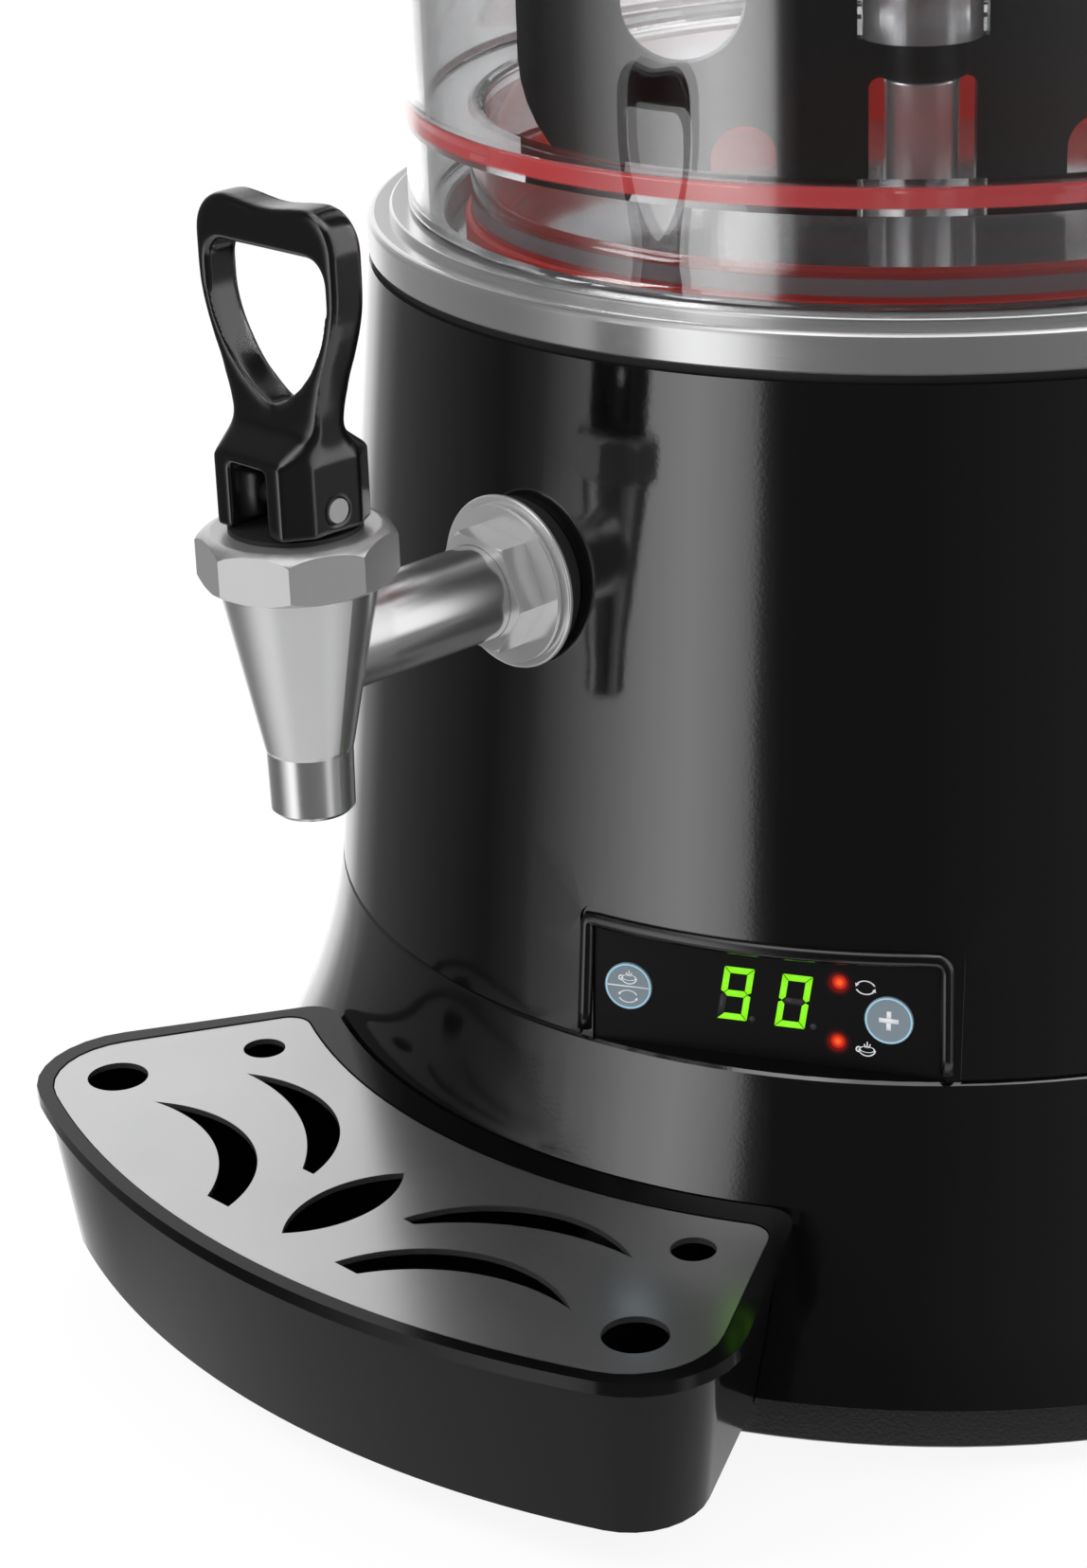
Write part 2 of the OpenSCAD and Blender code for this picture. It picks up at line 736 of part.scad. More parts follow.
// Four rubber feet under the bottom plate
module rubber_feet() {
    color("#1c1c1c") on_axis() for (t = foot_turns) toward(t) translate([0, -foot_reach, 0])
        rotate_extrude() polygon([[0, 0], [foot_d / 2 - 1.5, 0], [foot_d / 2 - 0.7, 0.8],
            [foot_d / 2, plate_bottom_z], [0, plate_bottom_z]]);
}

// Screws that hold the bottom plate
module plate_screws() {
    color("#b9bbbd") on_axis() for (t = screw_turns) toward(t)
        translate([0, -plate_screw_reach, plate_bottom_z]) mirror([0, 0, 1])
        screw(0, bottom_t + boss_h - 2, 6, 1.6);
}

// Tapered body shell with top and bottom flanges
module body_shell() {
    color("#111113") on_axis() difference() {
        union() {
            rotate_extrude()
                polygon([[base_top_r - seam_edge, base_h], [body_r(base_h + seam_edge), base_h + seam_edge],
                    [body_top_r, body_top_z], [pot_r + 1.5, body_top_z],
                    [pot_r + 1.5, body_top_z - body_wall],
                    [body_r(body_top_z - body_wall) - body_wall, body_top_z - body_wall],
                    [body_r(base_h + body_wall) - body_wall, base_h + body_wall],
                    [base_top_r - body_wall - body_foot_w, base_h + body_wall],
                    [base_top_r - body_wall - body_foot_w, base_h]]);
        }
        panel_block(0);
        translate([0, 0, pipe_z]) forward_drum(pipe_r + rest, 60, base_r);
        for (t = screw_turns) toward(t) {
            translate([0, -body_screw_reach, 0])
                drum(screw_d / 2 + fit, base_h - 1, base_h + body_wall + 1);
            translate([0, -ring_screw_reach, 0])
                drum(screw_d / 2 + fit, body_top_z - body_wall - 1, body_top_z + 1);
        }
    }
}

// Screws from the base's shelf into the body's bottom flange
module body_screws() {
    color("#b9bbbd") on_axis() for (t = screw_turns) toward(t)
        translate([0, -body_screw_reach, base_h - shelf_t]) mirror([0, 0, 1])
        screw(0, shelf_t + body_wall, 6, 1.8);
}

// Black seal between the body and the collar ring
module ring_seal() {
    color("#0b0b0b") on_axis() difference() {
        drum(body_top_r - 1.2, body_top_z, seal_top_z);
        drum(pot_r + 1.5, body_top_z - 1, seal_top_z + 1);
        for (t = screw_turns) toward(t) translate([0, -ring_screw_reach, 0])
            drum(screw_d / 2 + fit, body_top_z - 1, seal_top_z + 1);
    }
}

// Stepped stainless collar ring
module top_ring() {
    flange_r = pot_flange_r + fit;
    e = ring_round;
    color("#c9cbcd") on_axis() difference() {
        rotate_extrude() polygon(concat(
                [[flange_r, seal_top_z], [ring_r - 0.4, seal_top_z], [ring_r, seal_top_z + 0.4]],
                [for (i = [0 : 5]) [ring_r - e + e * cos(18 * i), ledge_z - e + e * sin(18 * i)]],
                [[ring_r - ring_ledge, ledge_z]],
                [for (i = [0 : 5]) [ring_r - ring_ledge - 0.6 + 0.6 * cos(18 * i),
                    step_z - 0.6 + 0.6 * sin(18 * i)]],
                [[ring_bore_r + 0.6, step_z], [ring_bore_r, step_z - 0.6],
                    [ring_bore_r, pot_top_z], [flange_r, pot_top_z]]));
        for (t = screw_turns) toward(t) translate([0, -ring_screw_reach, 0])
            drum(screw_d / 2 + fit, 0, ledge_z - 1.6);
    }
}

// Screws from the body's top flange into the collar ring
module ring_screws() {
    color("#b9bbbd") on_axis() for (t = screw_turns) toward(t)
        translate([0, -ring_screw_reach, body_top_z - body_wall]) mirror([0, 0, 1])
        screw(0, body_wall + seal_t + pot_wall + ring_h / 2, 6, 2);
}

// Sheet-steel water pot with a hanging flange
module water_pot() {
    color("#c4c6c8") on_axis() difference() {
        union() {
            drum(pot_r, pot_bottom_z, pot_top_z);
            drum(pot_flange_r, seal_top_z, pot_top_z);
        }
        drum(pot_r - pot_wall, pot_bottom_z + pot_wall, pot_top_z + 1);
        drum(bush_r + fit, pot_bottom_z - 1, pot_top_z);
        translate([0, -outlet_reach, 0]) drum(outlet_d / 2 + fit, pot_bottom_z - 1, pot_top_z);
        for (s = [-1, 1]) translate([s * heater_leg_x, heater_leg_y, 0])
            drum(heater_tube_r + 0.4 + fit, pot_bottom_z - 1, pot_top_z);
        for (t = screw_turns) toward(t) translate([0, -ring_screw_reach, 0])
            drum(screw_d / 2 + fit, seal_top_z - 1, pot_top_z + 1);
    }
}

// Polished hot plate that closes the water pot
module hot_plate() {
    color("#d6d8da") on_axis() difference() {
        drum(ring_bore_r - rest, pot_top_z, plate_z);
        drum(bush_r + fit, pot_top_z - 1, plate_z + 1);
        translate([0, -outlet_reach, 0]) drum(outlet_d / 2 + fit, pot_top_z - 1, plate_z + 1);
    }
}

// Red silicone gasket with a deep slot for the bowl's inner collar
module bowl_gasket() {
    r0 = gasket_slot_in_r - gasket_inner_lip;
    r1 = gasket_slot_out_r + gasket_outer_lip;
    color("#d6302a") on_axis() rotate_extrude()
        polygon([[r0, plate_z], [r1, plate_z], [r1, plate_z + gasket_outer_h - 0.4],
            [r1 - 0.4, plate_z + gasket_outer_h], [gasket_slot_out_r, plate_z + gasket_outer_h],
            [gasket_slot_out_r, plate_z + gasket_floor], [gasket_slot_in_r, plate_z + gasket_floor],
            [gasket_slot_in_r, plate_z + gasket_inner_h - 0.8],
            [gasket_slot_in_r - 0.8, plate_z + gasket_inner_h],
            [r0 + 0.8, plate_z + gasket_inner_h], [r0, plate_z + gasket_inner_h - 0.8]]);
}

// Steel bush that carries the drive shaft through the water pot
module shaft_bush() {
    color("#d0d2d4") on_axis() difference() {
        domed_drum(bush_r, bracket_z, bush_top_z, 0.8);
        drum(shaft_r + run, bracket_z - 1, bush_top_z + 1);
    }
}

heater_r = heater_d / 2;
heater_tube_r = heater_tube_d / 2;
heater_z = pot_bottom_z + pot_wall + heater_tube_r + 4;
heater_open = 24;
heater_leg_x = heater_r * sin(heater_open / 2);
heater_leg_y = heater_r * cos(heater_open / 2);

// Tubular heater ring with two legs through the pot's floor
module heating_element() {
    color("#7c7672") on_axis() union() {
        translate([0, 0, heater_z]) rotate([0, 0, 90 + heater_open / 2])
            rotate_extrude(angle = 360 - heater_open) translate([heater_r, 0]) circle(r = heater_tube_r);
        for (s = [-1, 1])
            translate([s * heater_leg_x, heater_leg_y, 0])
                drum(heater_tube_r + 0.4, pot_bottom_z - 8, heater_z + heater_tube_r - 0.6);
    }
}

// Disc thermostat under the pot's floor
module thermostat() {
    color("#d8d2c4") on_axis() translate([heater_leg_x + 30, heater_leg_y - 6, 0]) union() {
        drum(8, pot_bottom_z - 7, pot_bottom_z);
        drum(11, pot_bottom_z - 1.2, pot_bottom_z);
        for (s = [-1, 1]) translate([s * 4 - 0.4, -3, pot_bottom_z - 14]) cube([0.8, 6, 8]);
    }
}

// Stirrer motor with its gearbox
module gear_motor() {
    gearbox_z = gearbox_top_z - gearbox_h;
    color("#9a9da0") on_axis() difference() {
        union() {
            drum(gearbox_d / 2, gearbox_z, gearbox_top_z);
            mirror([0, 0, 1]) domed_drum(motor_d / 2, -gearbox_z, -gearbox_z + motor_h, 3);
            drum(8, gearbox_z - motor_h - 4, gearbox_z - motor_h + 1);
        }
        drum(shaft_r + run, shaft_foot_z - 1, gearbox_top_z + 1);
        for (t = [0, 120, 240]) toward(t) translate([0, -motor_screw_reach, 0])
            drum(screw_d / 2 + fit, gearbox_top_z - 10, gearbox_top_z + 1);
    }
}

// Bridge bracket that carries the motor on the base's shelf
module motor_bracket() {
    color("#a8abad") on_axis() difference() {
        union() {
            translate([-bracket_reach, -bracket_w / 2, gearbox_top_z])
                cube([2 * bracket_reach, bracket_w, bracket_t]);
            for (s = [0, 1]) mirror([s, 0, 0]) {
                translate([bracket_reach - bracket_t, -bracket_w / 2, base_h])
                    cube([bracket_t, bracket_w, bracket_z - base_h]);
                translate([bracket_reach - bracket_t, -bracket_w / 2, base_h])
                    cube([bracket_foot + bracket_t, bracket_w, bracket_t]);
            }
        }
        drum(shaft_r + 1, gearbox_top_z - 1, bracket_z + 1);
        for (t = [0, 120, 240]) toward(t) translate([0, -motor_screw_reach, 0])
            drum(screw_d / 2 + fit, gearbox_top_z - 1, bracket_z + 1);
        for (sx = [-1, 1], sy = [-1, 1]) translate([sx * bracket_screw_x, sy * bracket_screw_y, 0])
            drum(screw_d / 2 + fit, base_h - 1, base_h + bracket_t + 1);
    }
}

// Screws through the bracket's feet
module bracket_screws() {
    color("#b9bbbd") on_axis() for (sx = [-1, 1], sy = [-1, 1])
        translate([sx * bracket_screw_x, sy * bracket_screw_y, 0])
        screw(base_h + bracket_t, bracket_t + shelf_t, 5.6, 1.8);
}

// Screws that hang the gearbox from the bracket
module motor_screws() {
    color("#b9bbbd") on_axis() for (t = [0, 120, 240]) toward(t)
        translate([0, -motor_screw_reach, 0]) screw(bracket_z, bracket_t + 8, 5.6, 1.8);
}

panel_dist = sqrt(pow(base_top_r, 2) - pow(panel_w / 2, 2)) - face_set;
board_y = face_t + fit + display_t;
post_x = board_w / 2 - 2.2;

// Stands children on the foot of the flat face, with -Y out and +Z up its slope
module panel_place() {
    toward(panel_az) translate([0, -panel_dist, base_h]) rotate([-body_slope, 0, 0]) children();
}

// Circuit board behind the panel
module control_board() {
    color("#2c6b3f") on_axis() panel_place() union() {
        translate([-board_w / 2, board_y, display_z - board_h / 2])
            cube([board_w, board_t, board_h]);
        translate([-12, board_y + board_t, display_z - 5]) cube([24, 6, 10]);
    }
}

// Frame around the panel, flush with the body in front and open along the seam
module panel_bezel() {
    color("#1a1b1d") on_axis() difference() {
        intersection() {
            translate([0, 0, base_h])
                cylinder(r1 = body_r(base_h) - bezel_set, r2 = body_r(base_h + 60) - bezel_set, h = 60,
                    $fn = 720);
            panel_block(fit);
            panel_place() translate([-60, -30, -10]) cube([120, 30 + face_t, 60]);
        }
        panel_block(bezel_w);
    }
}

// Flat panel face with openings for buttons and lamps
module panel_face() {
    color("#3a3b3e") on_axis() difference() {
        union() {
            intersection() {
                panel_block(bezel_w + fit);
                panel_place() translate([-60, 0, -10]) cube([120, face_t, 60]);
            }
            panel_place() for (s = [-1, 1]) translate([s * post_x, 0, display_z + 6])
                forward_drum(1.8, -board_y, -face_t + 0.5);
        }
        panel_place() {
            left_button_place() forward_drum(button_d / 2 + rest / 2, -20, 20);
            right_button_place() forward_drum(button_d / 2 + rest / 2, -20, 20);
            lamps(fit, 3);
        }
    }
}

// Centre of the left button on the face
module left_button_place() {
    translate([-left_button_x, 0, left_button_z]) children();
}

// Centre of the right button on the face
module right_button_place() {
    translate([right_button_x, 0, right_button_z]) children();
}

// Two lamp posts, square to the board
module lamps(gap, extra) {
    for (i = [0, 1]) translate([lamp_x, 0, lamp_z + i * lamp_pitch])
        forward_drum(lamp_d / 2 + gap, -board_y, extra - 0.3);
}

// Two-digit display behind the face
module display_module() {
    color("#25272a") on_axis() panel_place()
        translate([-display_w / 2, face_t + fit, display_z - display_h / 2])
        cube([display_w, display_t, display_h]);
}

// Two indicator lamps
module indicator_lamps() {
    color("#ff4a1c") on_axis() panel_place() lamps(0, 0);
}

// One push button with its retaining rim
module button() {
    back = face_t + rest + button_travel + 0.7;
    union() {
        forward_drum(button_d / 2, -back, button_proud);
        forward_drum(button_d / 2 + 0.8, -back, -face_t - rest);
    }
}

// Button that chooses heating or stirring
module stir_button() {
    color("#8fa3b0") on_axis() panel_place() left_button_place() button();
}

// Button that raises the temperature
module temp_button() {
    color("#8fa3b0") on_axis() panel_place() right_button_place() button();
}

// Pipe that leads from the plate through the pot to the tap
module outlet_pipe() {
    r = outlet_d / 2;
    color("#c4c6c8") on_axis() difference() {
        outlet_run(r, 0);
        outlet_run(r - outlet_wall, 1);
    }
}

// The outlet's path: down from the plate, round a bend and forward
module outlet_run(r, over) {
    union() {
        translate([0, -outlet_reach, 0]) drum(r, pipe_z + outlet_bend, plate_z + over);
        translate([0, -outlet_reach - outlet_bend, pipe_z + outlet_bend]) rotate([0, 90, 0])
            rotate_extrude(angle = 90) translate([outlet_bend, 0]) circle(r = r);
        translate([0, 0, pipe_z])
            forward_drum(r, outlet_reach + outlet_bend, pipe_tail_y + outlet_lap + over);
    }
}

// Stainless tap body: nozzle, cone, neck and side pipe in one casting
module tap_body() {
    color("#cfd1d3") on_axis() difference() {
        union() {
            translate([0, -tap_reach, 0]) rotate_extrude()
                polygon([[0, nozzle_z], [nozzle_d / 2 - 0.8, nozzle_z], [nozzle_d / 2, nozzle_z + 0.8],
                    [nozzle_d / 2 + 0.2, cone_z - 0.6], [cone_foot_d / 2, cone_z],
                    [cone_top_d / 2, cone_top_z], [neck_d / 2, cone_top_z],
                    [neck_d / 2, neck_top_z], [0, neck_top_z]]);
            translate([0, 0, pipe_z]) forward_drum(pipe_r, pipe_tail_y, tap_reach);
        }
        translate([0, -tap_reach, 0]) {
            drum(nozzle_bore_d / 2, nozzle_z - 1, seat_z + 1);
            drum(seat_bore_d / 2, seat_z, seat_z + seat_bore_h + 1);
            drum(chamber_d / 2, seat_z + seat_bore_h, neck_top_z + 1);
        }
        translate([0, 0, pipe_z]) {
            forward_drum(pipe_bore_d / 2, pipe_tail_y - 1, tap_reach);
            forward_drum(outlet_d / 2 + fit, pipe_tail_y - 1, pipe_tail_y + outlet_lap + fit);
        }
    }
}

// Hexagon nut with a round flange on the tap pipe
module tap_nut() {
    color("#cfd1d3") on_axis() translate([0, 0, pipe_z]) difference() {
        union() {
            forward_drum(tap_flange_d / 2 - 1, washer_y, flange_y);
            forward_drum(tap_flange_d / 2, washer_y + 0.6, flange_y);
            intersection() {
                translate([0, -flange_y, 0]) rotate([90, 0, 0]) rotate([0, 0, tap_nut_turn])
                    cylinder(d = tap_nut_d, h = tap_nut_h, $fn = 6);
                translate([0, -flange_y, 0]) rotate([90, 0, 0])
                    cylinder(r1 = tap_nut_d / 2 + tap_nut_h, r2 = tap_nut_d / 2 - 0.6, h = tap_nut_h);
            }
        }
        forward_drum(pipe_r + fit, washer_y - 1, tap_nut_y + 1);
    }
}

// Plain washer behind the tap nut
module tap_washer() {
    color("#c3c5c7") on_axis() translate([0, 0, pipe_z]) difference() {
        forward_drum(tap_washer_d / 2, seal_y, washer_y);
        forward_drum(pipe_r + fit, seal_y - 1, washer_y + 1);
    }
}

// Rubber seal shaped to the body's cone
module tap_seal() {
    color("#161616") on_axis() difference() {
        translate([0, 0, pipe_z]) forward_drum(tap_seal_d / 2, seal_y - 8, seal_y);
        translate([0, 0, base_h])
            cylinder(r1 = body_r(base_h) + fit, r2 = body_r(body_top_z) + fit, h = body_top_z - base_h,
                $fn = 720);
        translate([0, 0, pipe_z]) forward_drum(pipe_r + fit, 60, base_r);
    }
}

// Saddle that seats the lock nut on the curved inside of the body
module shank_saddle() {
    color("#2a2a2c") on_axis() difference() {
        intersection() {
            translate([0, 0, pipe_z]) forward_drum(lock_nut_d / 2, saddle_y, base_r);
            translate([0, 0, base_h])
                cylinder(r1 = body_r(base_h) - body_wall - fit, r2 = body_r(body_top_z) - body_wall - fit,
                h = body_top_z - base_h, $fn = 720);
        }
        translate([0, 0, pipe_z]) forward_drum(pipe_r + fit, 60, base_r);
    }
}

// Hexagon lock nut inside the body
module lock_nut() {
    color("#c3c5c7") on_axis() translate([0, 0, pipe_z]) difference() {
        translate([0, -saddle_y + lock_nut_h, 0]) rotate([90, 0, 0])
            cylinder(d = lock_nut_d, h = lock_nut_h, $fn = 6);
        forward_drum(pipe_r + fit, saddle_y - lock_nut_h - 1, saddle_y + 1);
    }
}

// Eight-sided bonnet nut that closes the valve chamber
module bonnet_nut() {
    flat_r = bonnet_d / 2 * cos(22.5);
    r = bonnet_d / 2 + 0.8;
    e = 2 * bonnet_edge;
    color("#cfd1d3") on_axis() translate([0, -tap_reach, 0]) difference() {
        intersection() {
            translate([0, 0, cone_top_z]) rotate([0, 0, 45])
                cylinder(d = bonnet_d, h = neck_h + bonnet_top_t, $fn = 8);
            rotate_extrude() polygon(concat(
                [[0, cone_top_z - 1], [flat_r - 1.2, cone_top_z - 1], [r, cone_top_z + 1.6]],
                [for (i = [0 : 6]) [r - e + e * cos(15 * i), bonnet_top_z + 0.1 - e + e * sin(15 * i)]],
                [[0, bonnet_top_z + 0.1]]));
        }
        drum(neck_d / 2 + fit, cone_top_z - 2, neck_top_z + fit);
        drum(stem_d / 2 + run, neck_top_z - 1, bonnet_top_z + 1);
    }
}

// Black washer between bonnet nut and lever
module lever_washer() {
    color("#0d0d0d") on_axis() translate([0, -tap_reach, 0]) difference() {
        drum(lever_washer_d / 2, bonnet_top_z, bonnet_top_z + lever_washer_t);
        drum(stem_d / 2 + run, bonnet_top_z - 1, bonnet_top_z + lever_washer_t + 1);
    }
}

// Coil spring that presses the seat cup down
module valve_spring() {
    z0 = cup_top_z + rest;
    h = neck_top_z - rest - z0;
    r = stem_d / 2 + spring_wire_d / 2 + 0.4;
    color("#b0b3b6") on_axis() translate([0, -tap_reach, z0])
        linear_extrude(height = h, twist = -360 * spring_turns, slices = 16 * spring_turns, $fn = 8)
        translate([r, 0]) scale([1, 2.2]) circle(d = spring_wire_d, $fn = 8);
}

// Valve stem with the eye for the lever pin
module valve_stem() {
    color("#c3c5c7") on_axis() translate([0, -tap_reach, 0]) difference() {
        domed_drum(stem_d / 2, cup_top_z, stem_top_z, 1);
        translate([-stem_d, 0, pin_z]) rotate([0, 90, 0])
            cylinder(r = pin_d / 2 + run, h = 2 * stem_d);
    }
}

// Silicone cup that closes the valve seat
module seat_cup() {
    color("#e6e2d8") on_axis() translate([0, -tap_reach, 0]) mirror([0, 0, 1])
        domed_drum(seat_cup_d / 2, -cup_top_z, -cup_z, 1.2);
}

// Side outline of the lever's loop, from the neck up and over the top
function loop_outline(n) = let (top = lever_h, side_z = lever_h - 13, c = 7)
concat(
    [[-neck_r, block_h - 2]],
    [for (i = [0 : n]) let (t = i / n) [-neck_r - (loop_r - neck_r) * (1 - cos(180 * t)) / 2,
            neck_z + (side_z - neck_z) * t]],
    [for (i = [0 : n]) let (a = 90 * i / n) [-loop_r + c - c * cos(a), top - c + c * sin(a)]],
    [for (i = [1 : n - 1]) let (x = (2 * i / n - 1) * (loop_r - c))
        [x, top - 0.9 * (1 + cos(180 * x / (loop_r - c))) / 2]],
    [for (i = [0 : n]) let (a = 90 * i / n) [loop_r - c + c * sin(a), top - c + c * cos(a)]],
    [for (i = [n : -1 : 0]) let (t = i / n) [neck_r + (loop_r - neck_r) * (1 - cos(180 * t)) / 2,
            neck_z + (side_z - neck_z) * t]],
    [[neck_r, block_h - 2]]);

// Opening of the loop, wide above and drawn to a small round below
function loop_hole(n) = let (top = lever_h - loop_bar, w = loop_r - loop_side, c = 4,
    start = top - 1.9 * c, drop = start - top + loop_hole_h,
    taper = [for (i = [0 : 2 * n]) let (t = i / (2 * n)) [w * pow(1 - pow(t, 1.9), 0.8), start - drop * t]])
concat(
    [for (i = [0 : n]) let (a = 90 * i / n) [-w + c - c * cos(a), top - c + c * sin(a)]],
    [for (i = [0 : n]) let (a = 90 * i / n) [w - c + c * sin(a), top - c + c * cos(a)]],
    taper,
    [for (i = [2 * n - 1 : -1 : 0]) [-taper[i][0], taper[i][1]]]);

// Plan of the lever's block with its four corner cuts
module block_plan(grow) {
    x = block_w / 2 + grow;
    y = block_d / 2 + grow;
    polygon([[x, y - block_cut_d], [x - block_cut_w, y], [-x + block_cut_w, y], [-x, y - block_cut_d],
            [-x, -y + block_cut_d], [-x + block_cut_w, -y], [x - block_cut_w, -y], [x, -y + block_cut_d]]);
}

// Black loop lever: slotted block below, finger loop above
module tap_lever() {
    color("#17181a") on_axis() translate([0, -tap_reach, lever_z]) difference() {
        union() {
            linear_extrude(height = block_h) block_plan(0);
            hull() {
                translate([0, 0, block_h - 0.01]) linear_extrude(height = 0.01) block_plan(0);
                translate([-neck_r + 1, -loop_t / 2, neck_z + 1]) cube([2 * neck_r - 2, loop_t, 0.01]);
            }
            translate([0, loop_t / 2, 0]) rotate([90, 0, 0]) linear_extrude(height = loop_t)
                polygon(loop_outline(10));
        }
        translate([0, loop_t, 0]) rotate([90, 0, 0]) linear_extrude(height = 2 * loop_t)
            polygon(loop_hole(8));
        translate([-slot_w / 2, -block_d, -1]) cube([slot_w, 2 * block_d, slot_h + 1]);
        translate([-block_w, 0, pin_h]) rotate([0, 90, 0])
            cylinder(r = pin_d / 2 + fit / 2, h = 2 * block_w);
    }
}

// Steel pin through lever and stem
module lever_pin() {
    color("#d2d4d6") on_axis() translate([-block_w / 2, -tap_reach, pin_z]) rotate([0, 90, 0])
        cylinder(d = pin_d, h = block_w);
}

// Drive shaft from the gearbox up to the hub
module drive_shaft() {
    color("#c3c5c7") on_axis() domed_drum(shaft_r, shaft_foot_z, cap_z + cap_h - 4, 0.8);
}

// Flat outline of the paddle, in the plane of the axis
module paddle_plan() {
    n = 10;
    c = paddle_corner_r;
    difference() {
        union() {
            for (s = [0, 1]) mirror([s, 0]) polygon(concat([[0, 0], [paddle_r - c, 0]],
                    [for (i = [1 : n]) let (a = 90 * i / n) [paddle_r - c + c * sin(a), c - c * cos(a)]],
                    [for (i = [0 : n]) let (a = 90 * i / n)
                        [paddle_r - paddle_top_r + paddle_top_r * cos(a),
                            paddle_h - paddle_top_r + paddle_top_r * sin(a)]],
                    [[0, paddle_h]]));
        }
        for (s = [-1, 1]) {
            translate([s * notch_reach, notch_h - notch_w / 2]) circle(d = notch_w);
            translate([s * notch_reach - notch_w / 2, -1]) square([notch_w, notch_h - notch_w / 2 + 1]);
            translate([s * hole_reach, hole_h]) circle(d = hole_d);
        }
        translate([-paddle_slot_r, -1]) square([2 * paddle_slot_r, hub_z - paddle_z - 1.2]);
        translate([-paddle_slot_r + 2, -1]) square([2 * paddle_slot_r - 4, hub_z - paddle_z + 1]);
        for (s = [-1, 1]) translate([s * (paddle_slot_r - 2), hub_z - paddle_z - 2.2])
            circle(r = 2);
        translate([-cap_d / 2 - 1, cap_z - paddle_z]) square([cap_d + 2, paddle_h]);
    }
}

// Moulded paddle with its hub
module paddle() {
    color("#141416") on_axis() toward(paddle_turn) difference() {
        union() {
            translate([0, paddle_t / 2, paddle_z]) rotate([90, 0, 0]) linear_extrude(height = paddle_t)
                paddle_plan();
            drum(hub_d / 2, hub_z, cap_z);
        }
        drum(shaft_r + fit, hub_z - 1, cap_z + 1);
    }
}

// Chromed cap nut on top of the hub
module hub_cap() {
    color("#dcdee0") on_axis() difference() {
        domed_drum(cap_d / 2, cap_z, cap_z + cap_h, 2.5);
        drum(shaft_r + fit, cap_z - 1, cap_z + cap_h - 4 + fit);
    }
}

// Clear bowl: outer wall, floor flange and inner collar in one moulding
module bowl() {
    ri = bowl_r - bowl_wall;
    e = rim_round;
    color("#e8eef2", 0.35) on_axis() rotate_extrude() polygon(concat(
            [[bowl_r - 0.6, bowl_foot_z], [bowl_r, bowl_foot_z + 0.6]],
            [for (i = [0 : 4]) [bowl_r - e + e * cos(22.5 * i), bowl_rim_z - e + e * sin(22.5 * i)]],
            [for (i = [0 : 4]) [ri + e - e * sin(22.5 * i), bowl_rim_z - e + e * cos(22.5 * i)]],
            [for (i = [0 : 4]) [ri - floor_round + floor_round * cos(22.5 * i),
                floor_z + floor_t + floor_round - floor_round * sin(22.5 * i)]],
            [for (i = [0 : 4]) [collar_in_r + 2 - 2 * sin(22.5 * i),
                floor_z + floor_t - 2 + 2 * cos(22.5 * i)]],
            [[collar_in_r, collar_foot_z], [collar_r, collar_foot_z], [collar_r, floor_z], [ri, floor_z],
                [ri, bowl_foot_z]]));
}

// Black lid with a locating ring and a raised middle
module lid() {
    r = bowl_r + lid_lap;
    ring_out = bowl_r - bowl_wall - 2 * rest;
    z = bowl_rim_z + rest;
    mid_r = r * 0.62;
    color("#161618") on_axis() rotate_extrude()
        polygon([[knob_stud_r + fit, z + lid_rise], [mid_r - 6, z + lid_rise], [mid_r + 6, z],
            [ring_out - 2, z], [ring_out - 2, z - lid_drop], [ring_out, z - lid_drop], [ring_out, z],
            [r, z], [r, z + lid_t - 1], [r - 1, z + lid_t], [mid_r + 7, z + lid_t],
            [mid_r - 5, z + lid_rise + lid_t], [knob_stud_r + fit, z + lid_rise + lid_t]]);
}

knob_stud_r = 4;

// Turned knob on the lid
module lid_knob() {
    z = bowl_rim_z + rest + lid_rise + lid_t;
    r = knob_d / 2;
    color("#161618") on_axis() rotate_extrude()
        polygon(concat([[0, z - lid_t - 2], [knob_stud_r, z - lid_t - 2], [knob_stud_r, z], [r - 6, z],
            [r - 7, z + knob_h / 2]],
            [for (i = [0 : 6]) [r - 4 + 4 * sin(30 * i - 60), z + knob_h - 4 - 4 * cos(30 * i - 60) * 1]],
            [[0, z + knob_h]]));
}

tray_floor_z = tray_top_z - tray_depth;
tray_back_gap = 0.8;
tray_back_top_r = flare_r(tray_top_z) + tray_back_gap;

// Room that the base takes behind the tray, grown by a gap
module base_room(gap) {
    rotate_extrude() base_half(0, base_h, gap);
}

// Plan of the tray, drawn in from its rim by a distance on each side
module tray_plan(front, back, side, c1, c0) {
    polygon(sector_points(tray_back_top_r + back, tray_r - front, tray_angle - side / tray_r * 57.3,
        c0, c1));
}

// Block with drafted walls, drawn in from the rim by distances at its upper edge
module tray_block(z0, z1, front, side, c1) {
    taper = tray_draft * (z1 - z0) / tray_depth;
    hull() {
        translate([0, 0, z1 - 0.01]) linear_extrude(height = 0.01)
            tray_plan(front, 0, side, c1, tray_back_round);
        translate([0, 0, z0]) linear_extrude(height = 0.01)
            tray_plan(front + taper, 0, side + taper, c1 - 2, tray_back_round);
    }
}

